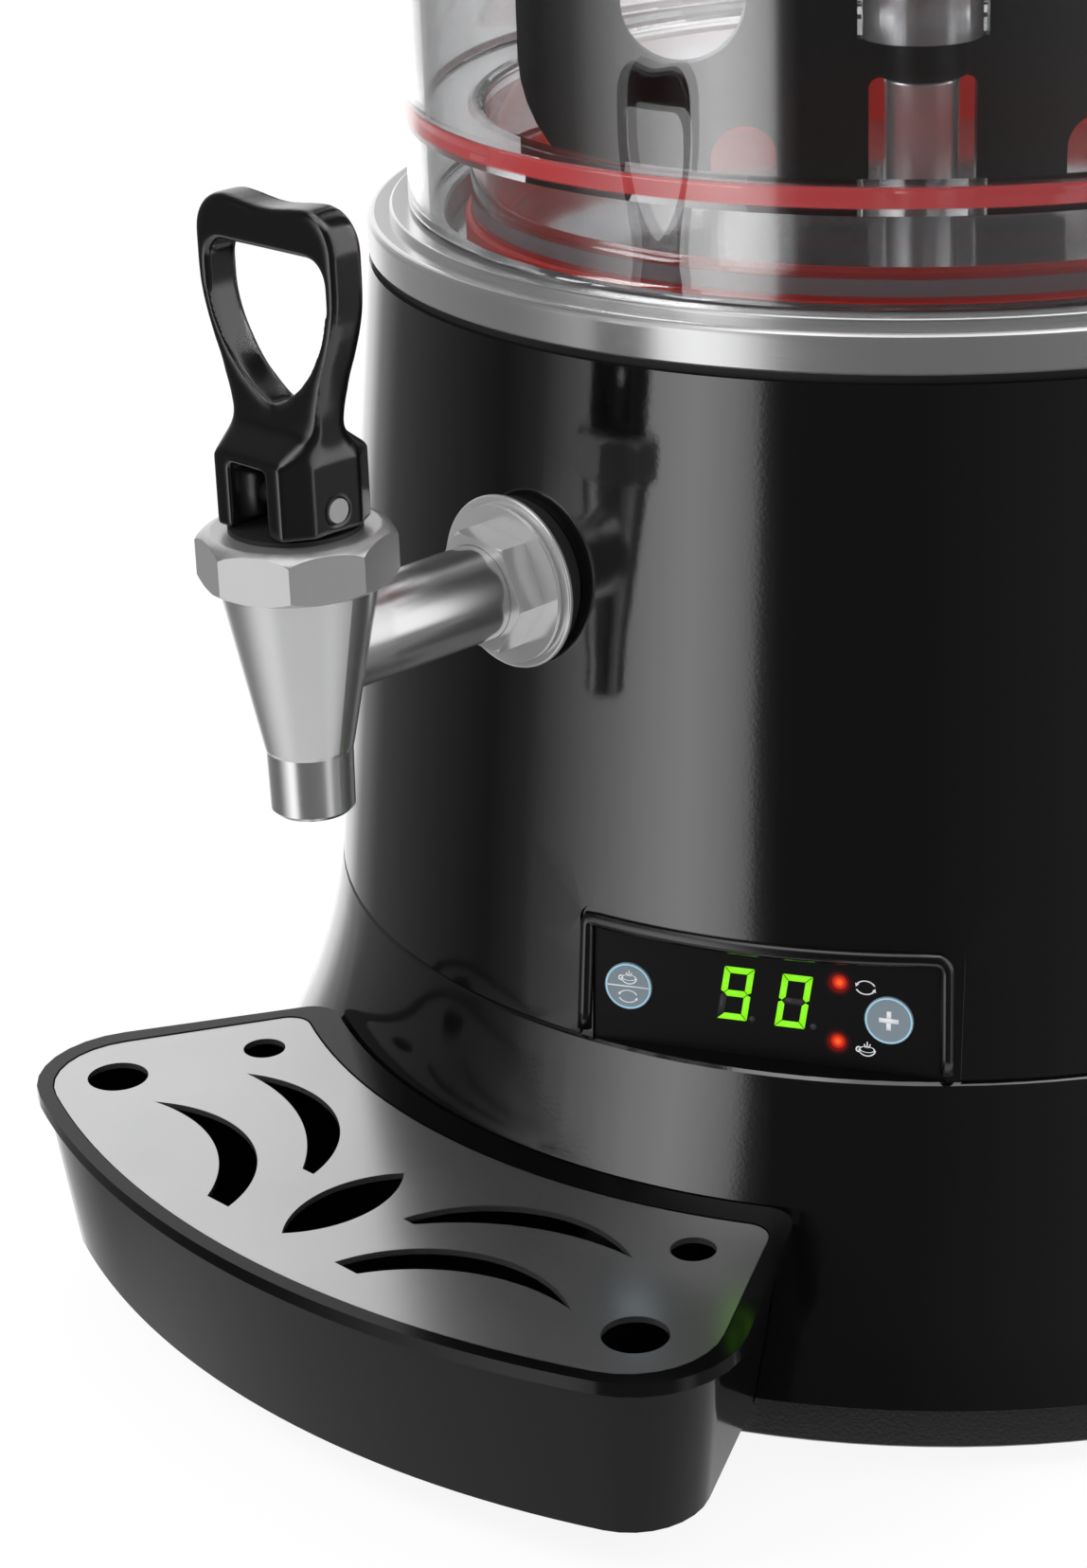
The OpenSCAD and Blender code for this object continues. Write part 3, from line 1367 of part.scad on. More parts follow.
// Lift-off drip tray with a lip, a seat for the grid and two hook tongues
module drip_tray() {
    seat_z = tray_top_z - grid_set - rest;
    color("#131315") on_axis() union() {
        difference() {
            union() {
                tray_block(tray_floor_z, tray_top_z - lip_t + 0.01, lip_front_w, lip_side_w,
                    tray_front_round - 4);
                translate([0, 0, tray_top_z - lip_t]) linear_extrude(height = lip_t)
                    tray_plan(0, 0, 0, tray_front_round, tray_back_round);
            }
            base_room(tray_back_gap);
            difference() {
                tray_block(tray_floor_z + tray_wall, seat_z + 0.1, rim_front_w + 1.7, rim_side_w + 2,
                    tray_front_round - 7);
                base_room(tray_back_gap + tray_wall);
            }
            translate([0, 0, seat_z]) linear_extrude(height = 10)
                tray_plan(rim_front_w - rest, rim_back_w - rest, rim_side_w - rest,
                tray_front_round - 3, tray_back_round - 1);
        }
        intersection() {
            for (s = [-1, 1]) translate([s * hook_x - hook_w / 2, -base_r, hook_z])
                cube([hook_w, base_r, hook_t]);
            difference() {
                base_room(tray_back_gap + tray_wall / 2);
                translate([0, 0, -1])
                    cylinder(r = flare_r(hook_z) - base_wall - hook_reach, h = tray_top_z + 2);
            }
        }
    }
}

// Lune between a crown and a hollow arc, blunt at one end and pointed at the other
module crescent(x, y, hollow_r, hollow_x, hollow_y) {
    translate([x, -y]) difference() {
        circle(r = crescent_r);
        translate([hollow_x, -hollow_y]) circle(r = hollow_r);
        translate([-2 * crescent_r, crescent_end - 2 * crescent_r])
            square([4 * crescent_r, 2 * crescent_r]);
    }
}

// Stainless drain grid with round, leaf and crescent openings
module drip_grid() {
    z = tray_top_z - grid_set;
    leaf_rho = (pow(leaf_len / 2, 2) + pow(leaf_w / 2, 2)) / leaf_w;
    color("#c9cbcd") on_axis() translate([0, 0, z]) linear_extrude(height = grid_t)
        difference() {
        tray_plan(rim_front_w, rim_back_w, rim_side_w, tray_front_round - 3.3, tray_back_round - 1.3);
        for (s = [-1, 1]) {
            translate(polar(big_hole_reach, s * big_hole_turn)) circle(d = big_hole_d);
            translate(polar(small_hole_reach, s * small_hole_turn)) circle(d = small_hole_d);
        }
        for (s = [0, 1]) mirror([s, 0]) {
            crescent(inner_crescent_x, inner_crescent_y, inner_hollow_r, inner_hollow_x, inner_hollow_y);
            crescent(outer_crescent_x, outer_crescent_y, outer_hollow_r, outer_hollow_x, outer_hollow_y);
        }
        intersection_for (s = [-1, 1]) translate([s * (leaf_rho - leaf_w / 2), -leaf_reach])
            circle(r = leaf_rho);
    }
}

// Frame and body of the rear switch
module switch_body() {
    color("#1b1b1d") on_axis() translate([-inlet_x, niche_y, inlet_z]) difference() {
        union() {
            translate([-switch_w / 2, 0, -switch_h / 2]) cube([switch_w, 2, switch_h]);
            translate([-switch_w / 2 + switch_rim + fit, -switch_depth, -switch_h / 2 + switch_rim + fit])
                cube([switch_w - 2 * switch_rim - 2 * fit, switch_depth + 1,
                    switch_h - 2 * switch_rim - 2 * fit]);
        }
        translate([-switch_w / 2 + 2 * switch_rim, -7, -switch_h / 2 + 2 * switch_rim])
            cube([switch_w - 4 * switch_rim, 12, switch_h - 4 * switch_rim]);
        rotate([0, 90, 0]) translate([0, 0, -switch_w / 2 + switch_rim + 0.6])
            cylinder(r = 1.2 + run, h = switch_w - 2 * switch_rim - 1.2);
    }
}

// Rocker of the rear switch, tilted to its on side
module rocker() {
    w = switch_w - 4 * switch_rim - 2 * rest;
    h = switch_h - 4 * switch_rim - 4 * rest;
    color("#26282b") on_axis() translate([-inlet_x, niche_y, inlet_z])
        rotate([rocker_tilt, 0, 0]) union() {
        rotate([90, 0, 90]) translate([0, 0, -w / 2]) linear_extrude(height = w)
            polygon([[-2, -h / 2 + 2], [2.6, -h / 2 + 0.6], [1.7, 0], [2.6, h / 2 - 0.6], [-2, h / 2 - 2]]);
        rotate([0, 90, 0]) translate([0, 0, -w / 2 - switch_rim + 0.6])
            cylinder(r = 1.2, h = w + 2 * switch_rim - 1.2);
    }
}

// Strain relief where the supply cord leaves the base
module cord_gland() {
    r = gland_d / 2;
    color("#1b1b1d") on_axis() translate([inlet_x, 0, inlet_z]) difference() {
        union() {
            forward_drum(r - 1.5, -niche_y - 1, -niche_y + niche_wall + 6);
            translate([0, niche_y, 0]) rotate([-90, 0, 0]) cylinder(r1 = r, r2 = r - 2, h = gland_l);
            translate([0, niche_y - niche_wall, 0]) rotate([90, 0, 0])
                cylinder(r = r + 1, h = 4, $fn = 6);
        }
        forward_drum(gland_bore_d / 2, -niche_y - gland_l - 1, -niche_y + niche_wall + 8);
    }
}

base_skirt();
rear_recess();
bottom_plate();
rubber_feet();
plate_screws();
body_shell();
body_screws();
ring_seal();
top_ring();
ring_screws();
water_pot();
hot_plate();
bowl_gasket();
shaft_bush();
heating_element();
thermostat();
gear_motor();
motor_bracket();
bracket_screws();
motor_screws();
control_board();
panel_bezel();
panel_face();
display_module();
indicator_lamps();
outlet_pipe();
tap_body();
tap_nut();
tap_washer();
tap_seal();
shank_saddle();
lock_nut();
bonnet_nut();
lever_washer();
valve_spring();
switch_body();
cord_gland();
valve_stem();
seat_cup();
tap_lever();
lever_pin();
drive_shaft();
paddle();
hub_cap();
bowl();
lid();
lid_knob();
drip_tray();
drip_grid();
stir_button();
temp_button();
rocker();
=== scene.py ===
"""Countertop hot chocolate dispenser: finishes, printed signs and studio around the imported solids."""

import math

import bmesh
import bpy
from mathutils import Matrix, Vector


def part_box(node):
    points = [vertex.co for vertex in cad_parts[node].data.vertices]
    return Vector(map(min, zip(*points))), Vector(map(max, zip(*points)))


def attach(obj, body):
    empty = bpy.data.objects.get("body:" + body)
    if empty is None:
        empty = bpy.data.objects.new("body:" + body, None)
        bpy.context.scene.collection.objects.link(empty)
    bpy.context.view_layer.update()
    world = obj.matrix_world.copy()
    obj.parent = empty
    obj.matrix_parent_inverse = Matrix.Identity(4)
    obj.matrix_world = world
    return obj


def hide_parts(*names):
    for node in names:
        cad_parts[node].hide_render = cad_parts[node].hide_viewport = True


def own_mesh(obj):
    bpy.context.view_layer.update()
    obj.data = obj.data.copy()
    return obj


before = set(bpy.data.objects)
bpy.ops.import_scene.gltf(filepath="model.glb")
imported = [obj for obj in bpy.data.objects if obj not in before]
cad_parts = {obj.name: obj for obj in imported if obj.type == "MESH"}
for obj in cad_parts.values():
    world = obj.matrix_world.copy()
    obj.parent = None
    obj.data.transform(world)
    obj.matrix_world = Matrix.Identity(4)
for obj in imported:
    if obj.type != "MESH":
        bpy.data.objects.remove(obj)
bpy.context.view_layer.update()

scene = bpy.context.scene
scene.view_settings.view_transform = "Standard"

# Studio: the camera stands in front of the right-hand side and looks down on the machine.
# A pale floor and a white surround carry it, with one broad softbox beside the tap.
camera_data = bpy.data.cameras.new("photo_camera")
camera_data.lens = 79.68
camera_data.sensor_width = 36.0
camera = bpy.data.objects.new("photo_camera", camera_data)
scene.collection.objects.link(camera)
camera_right = Vector((0.7003, 0.7131, -0.0340))
camera_up = Vector((-0.2522, 0.2917, 0.9227))
camera_back = Vector((0.6678, -0.6375, 0.3841))
camera_place = Vector((0.4312, -0.4944, 0.3578))
camera.matrix_world = Matrix((
    (camera_right.x, camera_up.x, camera_back.x, camera_place.x),
    (camera_right.y, camera_up.y, camera_back.y, camera_place.y),
    (camera_right.z, camera_up.z, camera_back.z, camera_place.z),
    (0.0, 0.0, 0.0, 1.0),
))
scene.camera = camera


class Wire:
    """A value on its way through a node tree; arithmetic on it adds Math nodes."""

    def __init__(self, tree, socket=None):
        self.tree = tree
        self.socket = socket

    def add(self, kind, settings=None, sockets=None, out=0):
        node = self.tree.nodes.new(kind)
        for name, value in (settings or {}).items():
            if name == "stops":
                ramp = node.color_ramp
                while len(ramp.elements) < len(value):
                    ramp.elements.new(1.0)
                for element, (place, shade) in zip(ramp.elements, value):
                    element.position = place
                    element.color = (*((shade,) * 3 if isinstance(shade, float) else shade), 1.0)
            else:
                setattr(node, name, value)
        for name, value in (sockets or {}).items():
            if isinstance(value, Wire):
                self.tree.links.new(value.socket, node.inputs[name])
            else:
                node.inputs[name].default_value = value
        return Wire(self.tree, node.outputs[out]) if len(node.outputs) else None

    def math(self, operation, first, second=0.0):
        return self.add("ShaderNodeMath", {"operation": operation}, {0: first, 1: second})

    def __add__(self, other):
        return self.math("ADD", self, other)

    __radd__ = __add__

    def __sub__(self, other):
        return self.math("SUBTRACT", self, other)

    def __rsub__(self, other):
        return self.math("SUBTRACT", other, self)

    def __mul__(self, other):
        return self.math("MULTIPLY", self, other)

    __rmul__ = __mul__

    def __truediv__(self, other):
        return self.math("DIVIDE", self, other)

    def __pow__(self, other):
        return self.math("POWER", self, other)

    def between(self, low, high):
        """0 below low, 1 above high, smooth between them."""
        return self.add("ShaderNodeMapRange", {"interpolation_type": "SMOOTHSTEP"},
                        {"Value": self, "From Min": low, "From Max": high})

    def blend(self, first, second):
        """Colour that goes from first to second as this value goes from 0 to 1."""
        return self.add("ShaderNodeMix", {"data_type": "RGBA"}, {0: self, 6: first, 7: second}, out=2)


world = bpy.data.worlds.new("studio")
world.use_nodes = True
world.cycles.sampling_method = "NONE"
scene.world = world
world.node_tree.nodes.clear()
sky = Wire(world.node_tree)
heading = sky.add("ShaderNodeTexCoord")
heading_xyz = heading.add("ShaderNodeSeparateXYZ", {}, {0: heading})
east = heading_xyz
north = Wire(world.node_tree, heading_xyz.socket.node.outputs[1])
height = Wire(world.node_tree, heading_xyz.socket.node.outputs[2])
# The room as polished pieces mirror it: brightness by degrees round it, over a table and under a roof.
LEAN = 0.014
turn = sky.math("ARCTAN2", east, 0.0 - north) / (2.0 * math.pi) + 0.5
turn = turn + sky.math("MAXIMUM", height, 0.0) * LEAN
SOFTBOX, OVERHEAD, TABLE = 1.5, 1.1, 0.62
TABLE_EDGE, ROOF_EDGE, SOFTBOX_TOP, RIGHT_FOOT = (-0.62, -0.52), (0.80, 0.92), (0.3, 0.6), (-0.2, -0.04)
RIGHT_START, RIGHT_END = (0.77, 0.81), (0.94, 0.97)
DIM_HIGH, DIM_LOW, ROOM_LIGHT = 0.4, 0.85, 0.7
surround = [(-180, 0.25), (-165, 0.07), (-136, 0.06), (-133, 0.2), (-131, 0.55), (-129, 0.95), (-126, 1.25),
            (-112, 1.2), (-104, 0.5), (-92, 0.18), (-76, 0.12), (-50, 0.035), (-40, 0.1), (-30, 0.42),
            (-20, 0.8), (-12, 1.18), (-4, 1.44), (3, 1.18), (8, 0.83), (10, 0.1), (14, 0.033),
            (40, 0.035), (60, 0.06), (84, 0.1), (96, 0.77), (122, 1.1), (146, 1.2), (156, 0.9),
            (172, 0.9), (180, 0.25)]
round_room = [((degrees + 180) / 360, light / SOFTBOX) for degrees, light in surround]
wall = turn.add("ShaderNodeValToRGB", {"stops": round_room}, {"Fac": turn})
above = height.between(*TABLE_EDGE)
right = turn.between(*RIGHT_START) * (1.0 - turn.between(*RIGHT_END))
dim_high = height.between(*SOFTBOX_TOP) * (1.0 - right) * DIM_HIGH
dim_low = (1.0 - height.between(*RIGHT_FOOT)) * right * DIM_LOW
glow = wall * (1.0 - (dim_high + dim_low)) * above + (1.0 - above) * (TABLE / SOFTBOX)
glow = glow + height.between(*ROOF_EDGE) * (OVERHEAD / SOFTBOX)
ray = sky.add("ShaderNodeLightPath")
bounced = ray.math("MINIMUM", Wire(world.node_tree, ray.socket.node.outputs["Glossy Depth"]), 1.0)
soft = Wire(world.node_tree, ray.socket.node.outputs["Is Diffuse Ray"])
plain = sky.add("ShaderNodeBackground", {}, {"Color": (1, 1, 1, 1), "Strength": ROOM_LIGHT})
mirror = sky.add("ShaderNodeBackground", {}, {"Color": glow, "Strength": SOFTBOX})
white = sky.add("ShaderNodeBackground", {}, {"Color": (1, 1, 1, 1), "Strength": 1.0})
lit = sky.add("ShaderNodeMixShader", {}, {0: bounced, 1: white, 2: mirror})
lit = sky.add("ShaderNodeMixShader", {}, {0: soft, 1: lit, 2: plain})
sky.add("ShaderNodeOutputWorld", {}, {"Surface": lit})

# The floor is white paper that keeps a faint shadow; polished pieces see the room's table in its place.
FLOOR_SIZE, FLOOR_WHITE, FLOOR_GLOW = 60.0, 0.85, 1.05
floor_mesh = bmesh.new()
bmesh.ops.create_grid(floor_mesh, x_segments=1, y_segments=1, size=FLOOR_SIZE)
floor_data = bpy.data.meshes.new("floor")
floor_mesh.to_mesh(floor_data)
floor_mesh.free()
floor = bpy.data.objects.new("floor", floor_data)
scene.collection.objects.link(floor)
floor_paint = bpy.data.materials.new("floor_white")
floor_paint.use_nodes = True
floor_paint.node_tree.nodes.clear()
paper = Wire(floor_paint.node_tree)
paper_ray = paper.add("ShaderNodeLightPath")
paper_through = Wire(paper.tree, paper_ray.socket.node.outputs["Is Transmission Ray"])
paper_bounced = Wire(paper.tree, paper_ray.socket.node.outputs["Glossy Depth"])
paper_seen = paper.math("MAXIMUM", paper_ray, paper_through) * FLOOR_WHITE
paper_diffuse = paper.add("ShaderNodeBsdfDiffuse", {}, {"Color": (0.85, 0.85, 0.85, 1)})
paper_white = paper.add("ShaderNodeEmission", {}, {"Color": (1, 1, 1, 1), "Strength": FLOOR_GLOW})
paper_clear = paper.add("ShaderNodeBsdfTransparent")
paper_mix = paper.add("ShaderNodeMixShader", {}, {0: paper_seen, 1: paper_diffuse, 2: paper_white})
paper_mix = paper.add("ShaderNodeMixShader", {}, {
    0: paper.math("MINIMUM", paper_bounced, 1.0), 1: paper_mix, 2: paper_clear})
paper.add("ShaderNodeOutputMaterial", {}, {"Surface": paper_mix})
floor_data.materials.append(floor_paint)

LAMP_SIZE = 0.9
LAMP_AIM = Vector((0.0, 0.02, 0.2))
for lamp_name, lamp_place, lamp_watts in (
        ("key_softbox", (-0.75, -1.15, 1.15), 16.0), ("rear_softbox", (0.7, 1.2, 1.1), 10.0)):
    lamp_data = bpy.data.lights.new(lamp_name, "AREA")
    lamp_data.size = LAMP_SIZE
    lamp_data.energy = lamp_watts
    lamp = bpy.data.objects.new(lamp_name, lamp_data)
    scene.collection.objects.link(lamp)
    lamp.visible_camera = False
    lamp.visible_glossy = False
    lamp.location = lamp_place
    lamp.rotation_mode = "QUATERNION"
    lamp.rotation_quaternion = (LAMP_AIM - Vector(lamp_place)).to_track_quat("-Z", "Y")


# Base: a flared shell moulded in glossy black plastic, with a plinth band round its foot.
# Its rear recess is a second moulding pressed into a window in the wall.
def new_finish(name, **constants):
    """Material with one Principled shader: returns it, its object coordinates and the shader node."""
    material = bpy.data.materials.new(name)
    material.use_nodes = True
    material.node_tree.nodes.clear()
    start = Wire(material.node_tree)
    shader = start.add("ShaderNodeBsdfPrincipled", {}, constants)
    start.add("ShaderNodeOutputMaterial", {}, {"Surface": shader})
    return material, start.add("ShaderNodeTexCoord", {}, {}, out=3), shader.socket.node


def feed(shader, socket, wire):
    """Joins a value to one of the shader's sockets."""
    shader.id_data.links.new(wire.socket, shader.inputs[socket])


def dress(material, *names):
    """Gives solids a finish in place of the plain one they were packed with."""
    for name in names:
        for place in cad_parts[name].material_slots:
            place.material = material


def moulded(name, colour, roughness, wave, grain, depth=0.03, **constants):
    """Moulded plastic: slow flow marks in the gloss and a fine skin texture."""
    material, place, shader = new_finish(name, **constants)
    flow = place.add("ShaderNodeTexNoise", {}, {"Vector": place, "Scale": 26.0, "Detail": 3.0})
    skin = place.add("ShaderNodeTexNoise", {}, {"Vector": place, "Scale": grain, "Detail": 2.0})
    dark = tuple(c * 0.8 for c in colour)
    feed(shader, "Base Color", flow.blend((*dark, 1), (*colour, 1)))
    feed(shader, "Roughness", flow * wave + skin * wave + (roughness - wave))
    dents = skin.add("ShaderNodeBump", {}, {"Strength": depth, "Distance": 0.0004, "Height": skin})
    feed(shader, "Normal", dents)
    return material


black_gloss = moulded("black_gloss", (0.003, 0.003, 0.0033), 0.085, 0.02, 1400.0, 0.015, IOR=2.1)
dress(black_gloss, "base_skirt", "rear_recess")


# Underside: a pressed zinc-coated plate, screwed to the base and standing on four rubber feet.
# The coating shows a faint crystal pattern.
def plated(name, colour, roughness):
    """Zinc coating: patchy crystals over a metal ground."""
    material, place, shader = new_finish(name, Metallic=1.0)
    crystal = place.add("ShaderNodeTexVoronoi", {}, {"Vector": place, "Scale": 160.0}, out=1)
    patch = place.add("ShaderNodeTexNoise", {}, {"Vector": crystal, "Scale": 3.0})
    feed(shader, "Base Color", patch.blend((*(c * 0.8 for c in colour), 1), (*colour, 1)))
    feed(shader, "Roughness", patch * 0.14 + (roughness - 0.07))
    return material


zinc = plated("zinc_coat", (0.5, 0.51, 0.53), 0.38)
dress(zinc, "bottom_plate", "plate_screws", "body_screws", "ring_screws", "motor_bracket", "motor_screws",
      "bracket_screws")
rubber = moulded("black_rubber", (0.016, 0.016, 0.017), 0.55, 0.08, 2400.0)
dress(rubber, "rubber_feet", "ring_seal", "tap_seal", "lever_washer")

# Body: a tapered shell of the same glossy black plastic, standing on the base's shelf.
# It is screwed from below and carries the collar ring on its top edge.
dress(black_gloss, "body_shell")


# Collar ring: turned stainless steel with a stepped top, clamped over a thin black seal.
# The lathe leaves fine concentric lines.
def axis_polar(place, centre, along=2):
    """Distance and angle of a point round an axis through a centre, and its place along it."""
    near = place.add("ShaderNodeVectorMath", {"operation": "SUBTRACT"}, {0: place, 1: centre})
    parts = near.add("ShaderNodeSeparateXYZ", {}, {0: near})
    x, y, z = (Wire(place.tree, parts.socket.node.outputs[(along + i) % 3]) for i in (1, 2, 3))
    reach = (x * x + y * y) ** 0.5
    return reach, x.math("ARCTAN2", y, x), z


def turned_steel(name, centre, colour, roughness, streak, groove, metal, along=2, buffed=1.0):
    """Lathe-turned steel: rings round an axis, in short arcs; buffed smoother beyond a reach."""
    material, place, shader = new_finish(name, Metallic=metal)
    reach, angle, z = axis_polar(place, centre, along)
    lines = place.add("ShaderNodeCombineXYZ", {}, {0: reach * 5200.0, 1: z * 5200.0, 2: angle * 5.0})
    fine = lines.add("ShaderNodeTexNoise", {}, {"Vector": lines, "Scale": 1.0, "Detail": 3.0})
    cloud = place.add("ShaderNodeTexNoise", {}, {"Vector": place, "Scale": 45.0, "Detail": 2.0})
    tone = fine * 0.6 + cloud * 0.4
    feed(shader, "Base Color", tone.blend((*(c * (1 - streak) for c in colour), 1), (*colour, 1)))
    satin = fine * 0.08 + (roughness - 0.04)
    feed(shader, "Roughness", satin * (1.0 - reach.between(buffed, buffed + 0.002) * 0.3))
    lathe = fine.add("ShaderNodeBump", {}, {"Strength": groove, "Distance": 0.0002, "Height": fine})
    feed(shader, "Normal", lathe)
    return material


AXIS = (0.0, 0.0253, 0.0)
ring_steel = turned_steel("ring_steel", AXIS, (0.74, 0.74, 0.745), 0.22, 0.12, 0.008, 0.84)
dress(ring_steel, "top_ring", "water_pot")

# Hot plate: a disc polished to a mirror, the lid of the water bath that warms the drink.
# A thermostat and a sheathed heating loop sit under it.
mirror_steel = turned_steel("mirror_steel", AXIS, (0.84, 0.84, 0.85), 0.12, 0.08, 0.01, 0.8)
dress(mirror_steel, "hot_plate", "hub_cap")
sheath = plated("heater_sheath", (0.25, 0.23, 0.22), 0.45)
dress(sheath, "heating_element")
ceramic = moulded("ceramic", (0.7, 0.66, 0.58), 0.5, 0.1, 900.0)
dress(ceramic, "thermostat")

# Drive: a painted gear motor hung from a bracket on the shelf.
# It turns the shaft that passes through the plate's bush.
bush_steel = turned_steel("bush_steel", AXIS, (0.86, 0.86, 0.865), 0.18, 0.1, 0.004, 0.7)
dress(bush_steel, "shaft_bush", "drive_shaft")
motor_paint = moulded("motor_paint", (0.3, 0.31, 0.32), 0.42, 0.08, 700.0)
dress(motor_paint, "gear_motor")

# Tap: a turned stainless body with a side pipe, screwed through the body wall by nut and washer.
# A moulded black loop lever, pinned to the stem, lifts the valve and a coil spring closes it.
# The lever is skinned afresh so that its rims are round and its neck flows into the block.
TAP = (0.0, -0.1383, 0.0)
PIPE = (0.0, 0.0, 0.1515)
PIPE_START = 0.0150
tap_steel = turned_steel("tap_steel", TAP, (0.86, 0.86, 0.865), 0.25, 0.08, 0.004, 0.92,
                         buffed=PIPE_START)
dress(tap_steel, "tap_body", "valve_stem")
cap_steel = turned_steel("cap_steel", TAP, (0.66, 0.66, 0.665), 0.38, 0.08, 0.004, 0.86)
nut_steel = turned_steel("nut_steel", PIPE, (0.9, 0.9, 0.905), 0.2, 0.06, 0.004, 0.7, along=1)
dress(nut_steel, "tap_nut", "tap_washer", "lock_nut", "outlet_pipe")
pin_low, pin_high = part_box("lever_pin")
pin_steel = turned_steel("pin_steel", (pin_low + pin_high) / 2, (0.72, 0.72, 0.725), 0.4, 0.1, 0.004, 0.72,
                         along=0)
dress(pin_steel, "lever_pin")
pale_silicone = moulded("pale_silicone", (0.75, 0.72, 0.65), 0.5, 0.1, 900.0)
dress(pale_silicone, "seat_cup")
satin_black = moulded("satin_black", (0.012, 0.012, 0.013), 0.32, 0.06, 1800.0)
dress(satin_black, "shank_saddle")
lever_black = moulded("lever_black", (0.005, 0.005, 0.0055), 0.17, 0.03, 1600.0, IOR=1.9)


def merged_copy(node):
    """Welded copy of a solid, with its flat facets joined up."""
    shape = bmesh.new()
    shape.from_mesh(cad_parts[node].data)
    bmesh.ops.remove_doubles(shape, verts=shape.verts, dist=1e-6)
    bmesh.ops.dissolve_limit(shape, angle_limit=math.radians(1.0), verts=shape.verts, edges=shape.edges)
    return shape


def round_edges(shape, width, least):
    """Rounds every edge that is sharper than an angle."""
    sharp = [edge for edge in shape.edges
             if edge.is_manifold and edge.calc_face_angle() > math.radians(least)]
    bmesh.ops.bevel(shape, geom=sharp, offset=width, offset_type="OFFSET", segments=3, profile=0.5,
                    affect="EDGES", material=-1, clamp_overlap=True)


def add_piece(name, shape, material, body, slot, *nodes):
    """Turns a bmesh into a piece that rides on a body and stands for the named solids."""
    mesh = bpy.data.meshes.new(name)
    shape.to_mesh(mesh)
    shape.free()
    mesh.materials.append(material)
    for face in mesh.polygons:
        face.use_smooth = True
    piece = bpy.data.objects.new(name, mesh)
    scene.collection.objects.link(piece)
    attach(piece, body)
    if nodes:
        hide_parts(*nodes)
    return piece


lever_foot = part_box("tap_lever")[0].z
SHOULDER, NECK, LOOP = lever_foot + 0.0125, lever_foot + 0.0215, lever_foot + 0.0235
LOOP_FACE, LOOP_ROUND, LEVER_VOXEL = 0.0035, 0.0013, 0.00034
ALL_OVER, NECK_ONLY, RIM_TURN = 14, 66, 0.8
SHOULDER_FADE, NECK_SINK, NECK_FADE = 0.002, 0.003, 0.012
lever_shape = merged_copy("tap_lever")
rims = [edge for edge in lever_shape.edges if edge.is_manifold and edge.calc_face_angle() > RIM_TURN
        and all(v.co.z > LOOP and abs(v.co.y - TAP[1]) > LOOP_FACE for v in edge.verts)]
bmesh.ops.bevel(lever_shape, geom=rims, offset=LOOP_ROUND, offset_type="OFFSET", segments=4, profile=0.5,
                affect="EDGES", material=-1, clamp_overlap=False)
lever_maker = bpy.data.objects.new("lever_maker", bpy.data.meshes.new("lever_maker"))
lever_shape.to_mesh(lever_maker.data)
scene.collection.objects.link(lever_maker)
lever_skin = lever_maker.modifiers.new("skin", "REMESH")
lever_skin.mode = "VOXEL"
lever_skin.voxel_size = LEVER_VOXEL
lever_seen = lever_maker.evaluated_get(bpy.context.evaluated_depsgraph_get())
skinned = bpy.data.meshes.new_from_object(lever_seen)
bpy.data.objects.remove(lever_maker)
lever_shape.clear()
lever_shape.from_mesh(skinned)
for stroke in range(ALL_OVER + NECK_ONLY):
    fade = stroke % 10 / 10
    neck_foot = SHOULDER + SHOULDER_FADE * fade
    neck_top = NECK - NECK_SINK + NECK_FADE * fade
    softened = [v for v in lever_shape.verts if stroke < ALL_OVER or neck_foot < v.co.z < neck_top]
    bmesh.ops.smooth_vert(lever_shape, verts=softened, factor=0.5,
                          use_axis_x=True, use_axis_y=True, use_axis_z=True)
add_piece("loop_lever", lever_shape, lever_black, "lever", "lever_black", "tap_lever")
spring_shape = merged_copy("valve_spring")
coil_spring = add_piece("coil_spring", spring_shape, tap_steel, "frame", "stainless", "valve_spring")
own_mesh(coil_spring)
NUT_CREASE = 20.0
for nut_name, nut_node, nut_finish, nut_edge in (
        ("cap_nut", "bonnet_nut", cap_steel, 0.0006), ("pipe_nut", "tap_nut", nut_steel, 0.0006),
        ("pipe_washer", "tap_washer", nut_steel, 0.0004)):
    nut_shape = merged_copy(nut_node)
    round_edges(nut_shape, nut_edge, NUT_CREASE)
    nut = add_piece(nut_name, nut_shape, nut_finish, "frame", "stainless", nut_node)
    nut.modifiers.new("even_shading", "WEIGHTED_NORMAL")

# Bowl: one clear moulding with a floor and an inner collar, pushed down on a red gasket.
# The gasket grips the collar on the plate.
# Painted glow: the gasket is given a faint red emission that stands in for light scattered through the
# silicone; the silicone is no lamp.
red_silicone = moulded("red_silicone", (0.85, 0.035, 0.02), 0.34, 0.06, 1200.0, **{
    "Emission Color": (0.8, 0.03, 0.02, 1), "Emission Strength": 0.14})
dress(red_silicone, "bowl_gasket")
clear, clear_place, clear_shader = new_finish("clear_bowl", IOR=1.5, **{
    "Transmission Weight": 1.0, "Coat Weight": 1.0, "Coat IOR": 2.2, "Coat Roughness": 0.02})
haze = clear_place.add("ShaderNodeTexNoise", {}, {"Vector": clear_place, "Scale": 30.0, "Detail": 3.0})
feed(clear_shader, "Base Color", haze.blend((0.955, 0.96, 0.97, 1), (0.985, 0.988, 0.995, 1)))
feed(clear_shader, "Roughness", haze * 0.02 + 0.005)
bowl_reach, _, bowl_z = axis_polar(clear_place, AXIS)
FLOOR_FOOT, FLOOR_TOP, WALL_REACH = 0.2213, 0.2255, 0.0988
COLLAR_FOOT, COLLAR_WET, COLLAR_REACH, COLLAR_END = 0.2034, 0.2070, 0.0876, 0.089


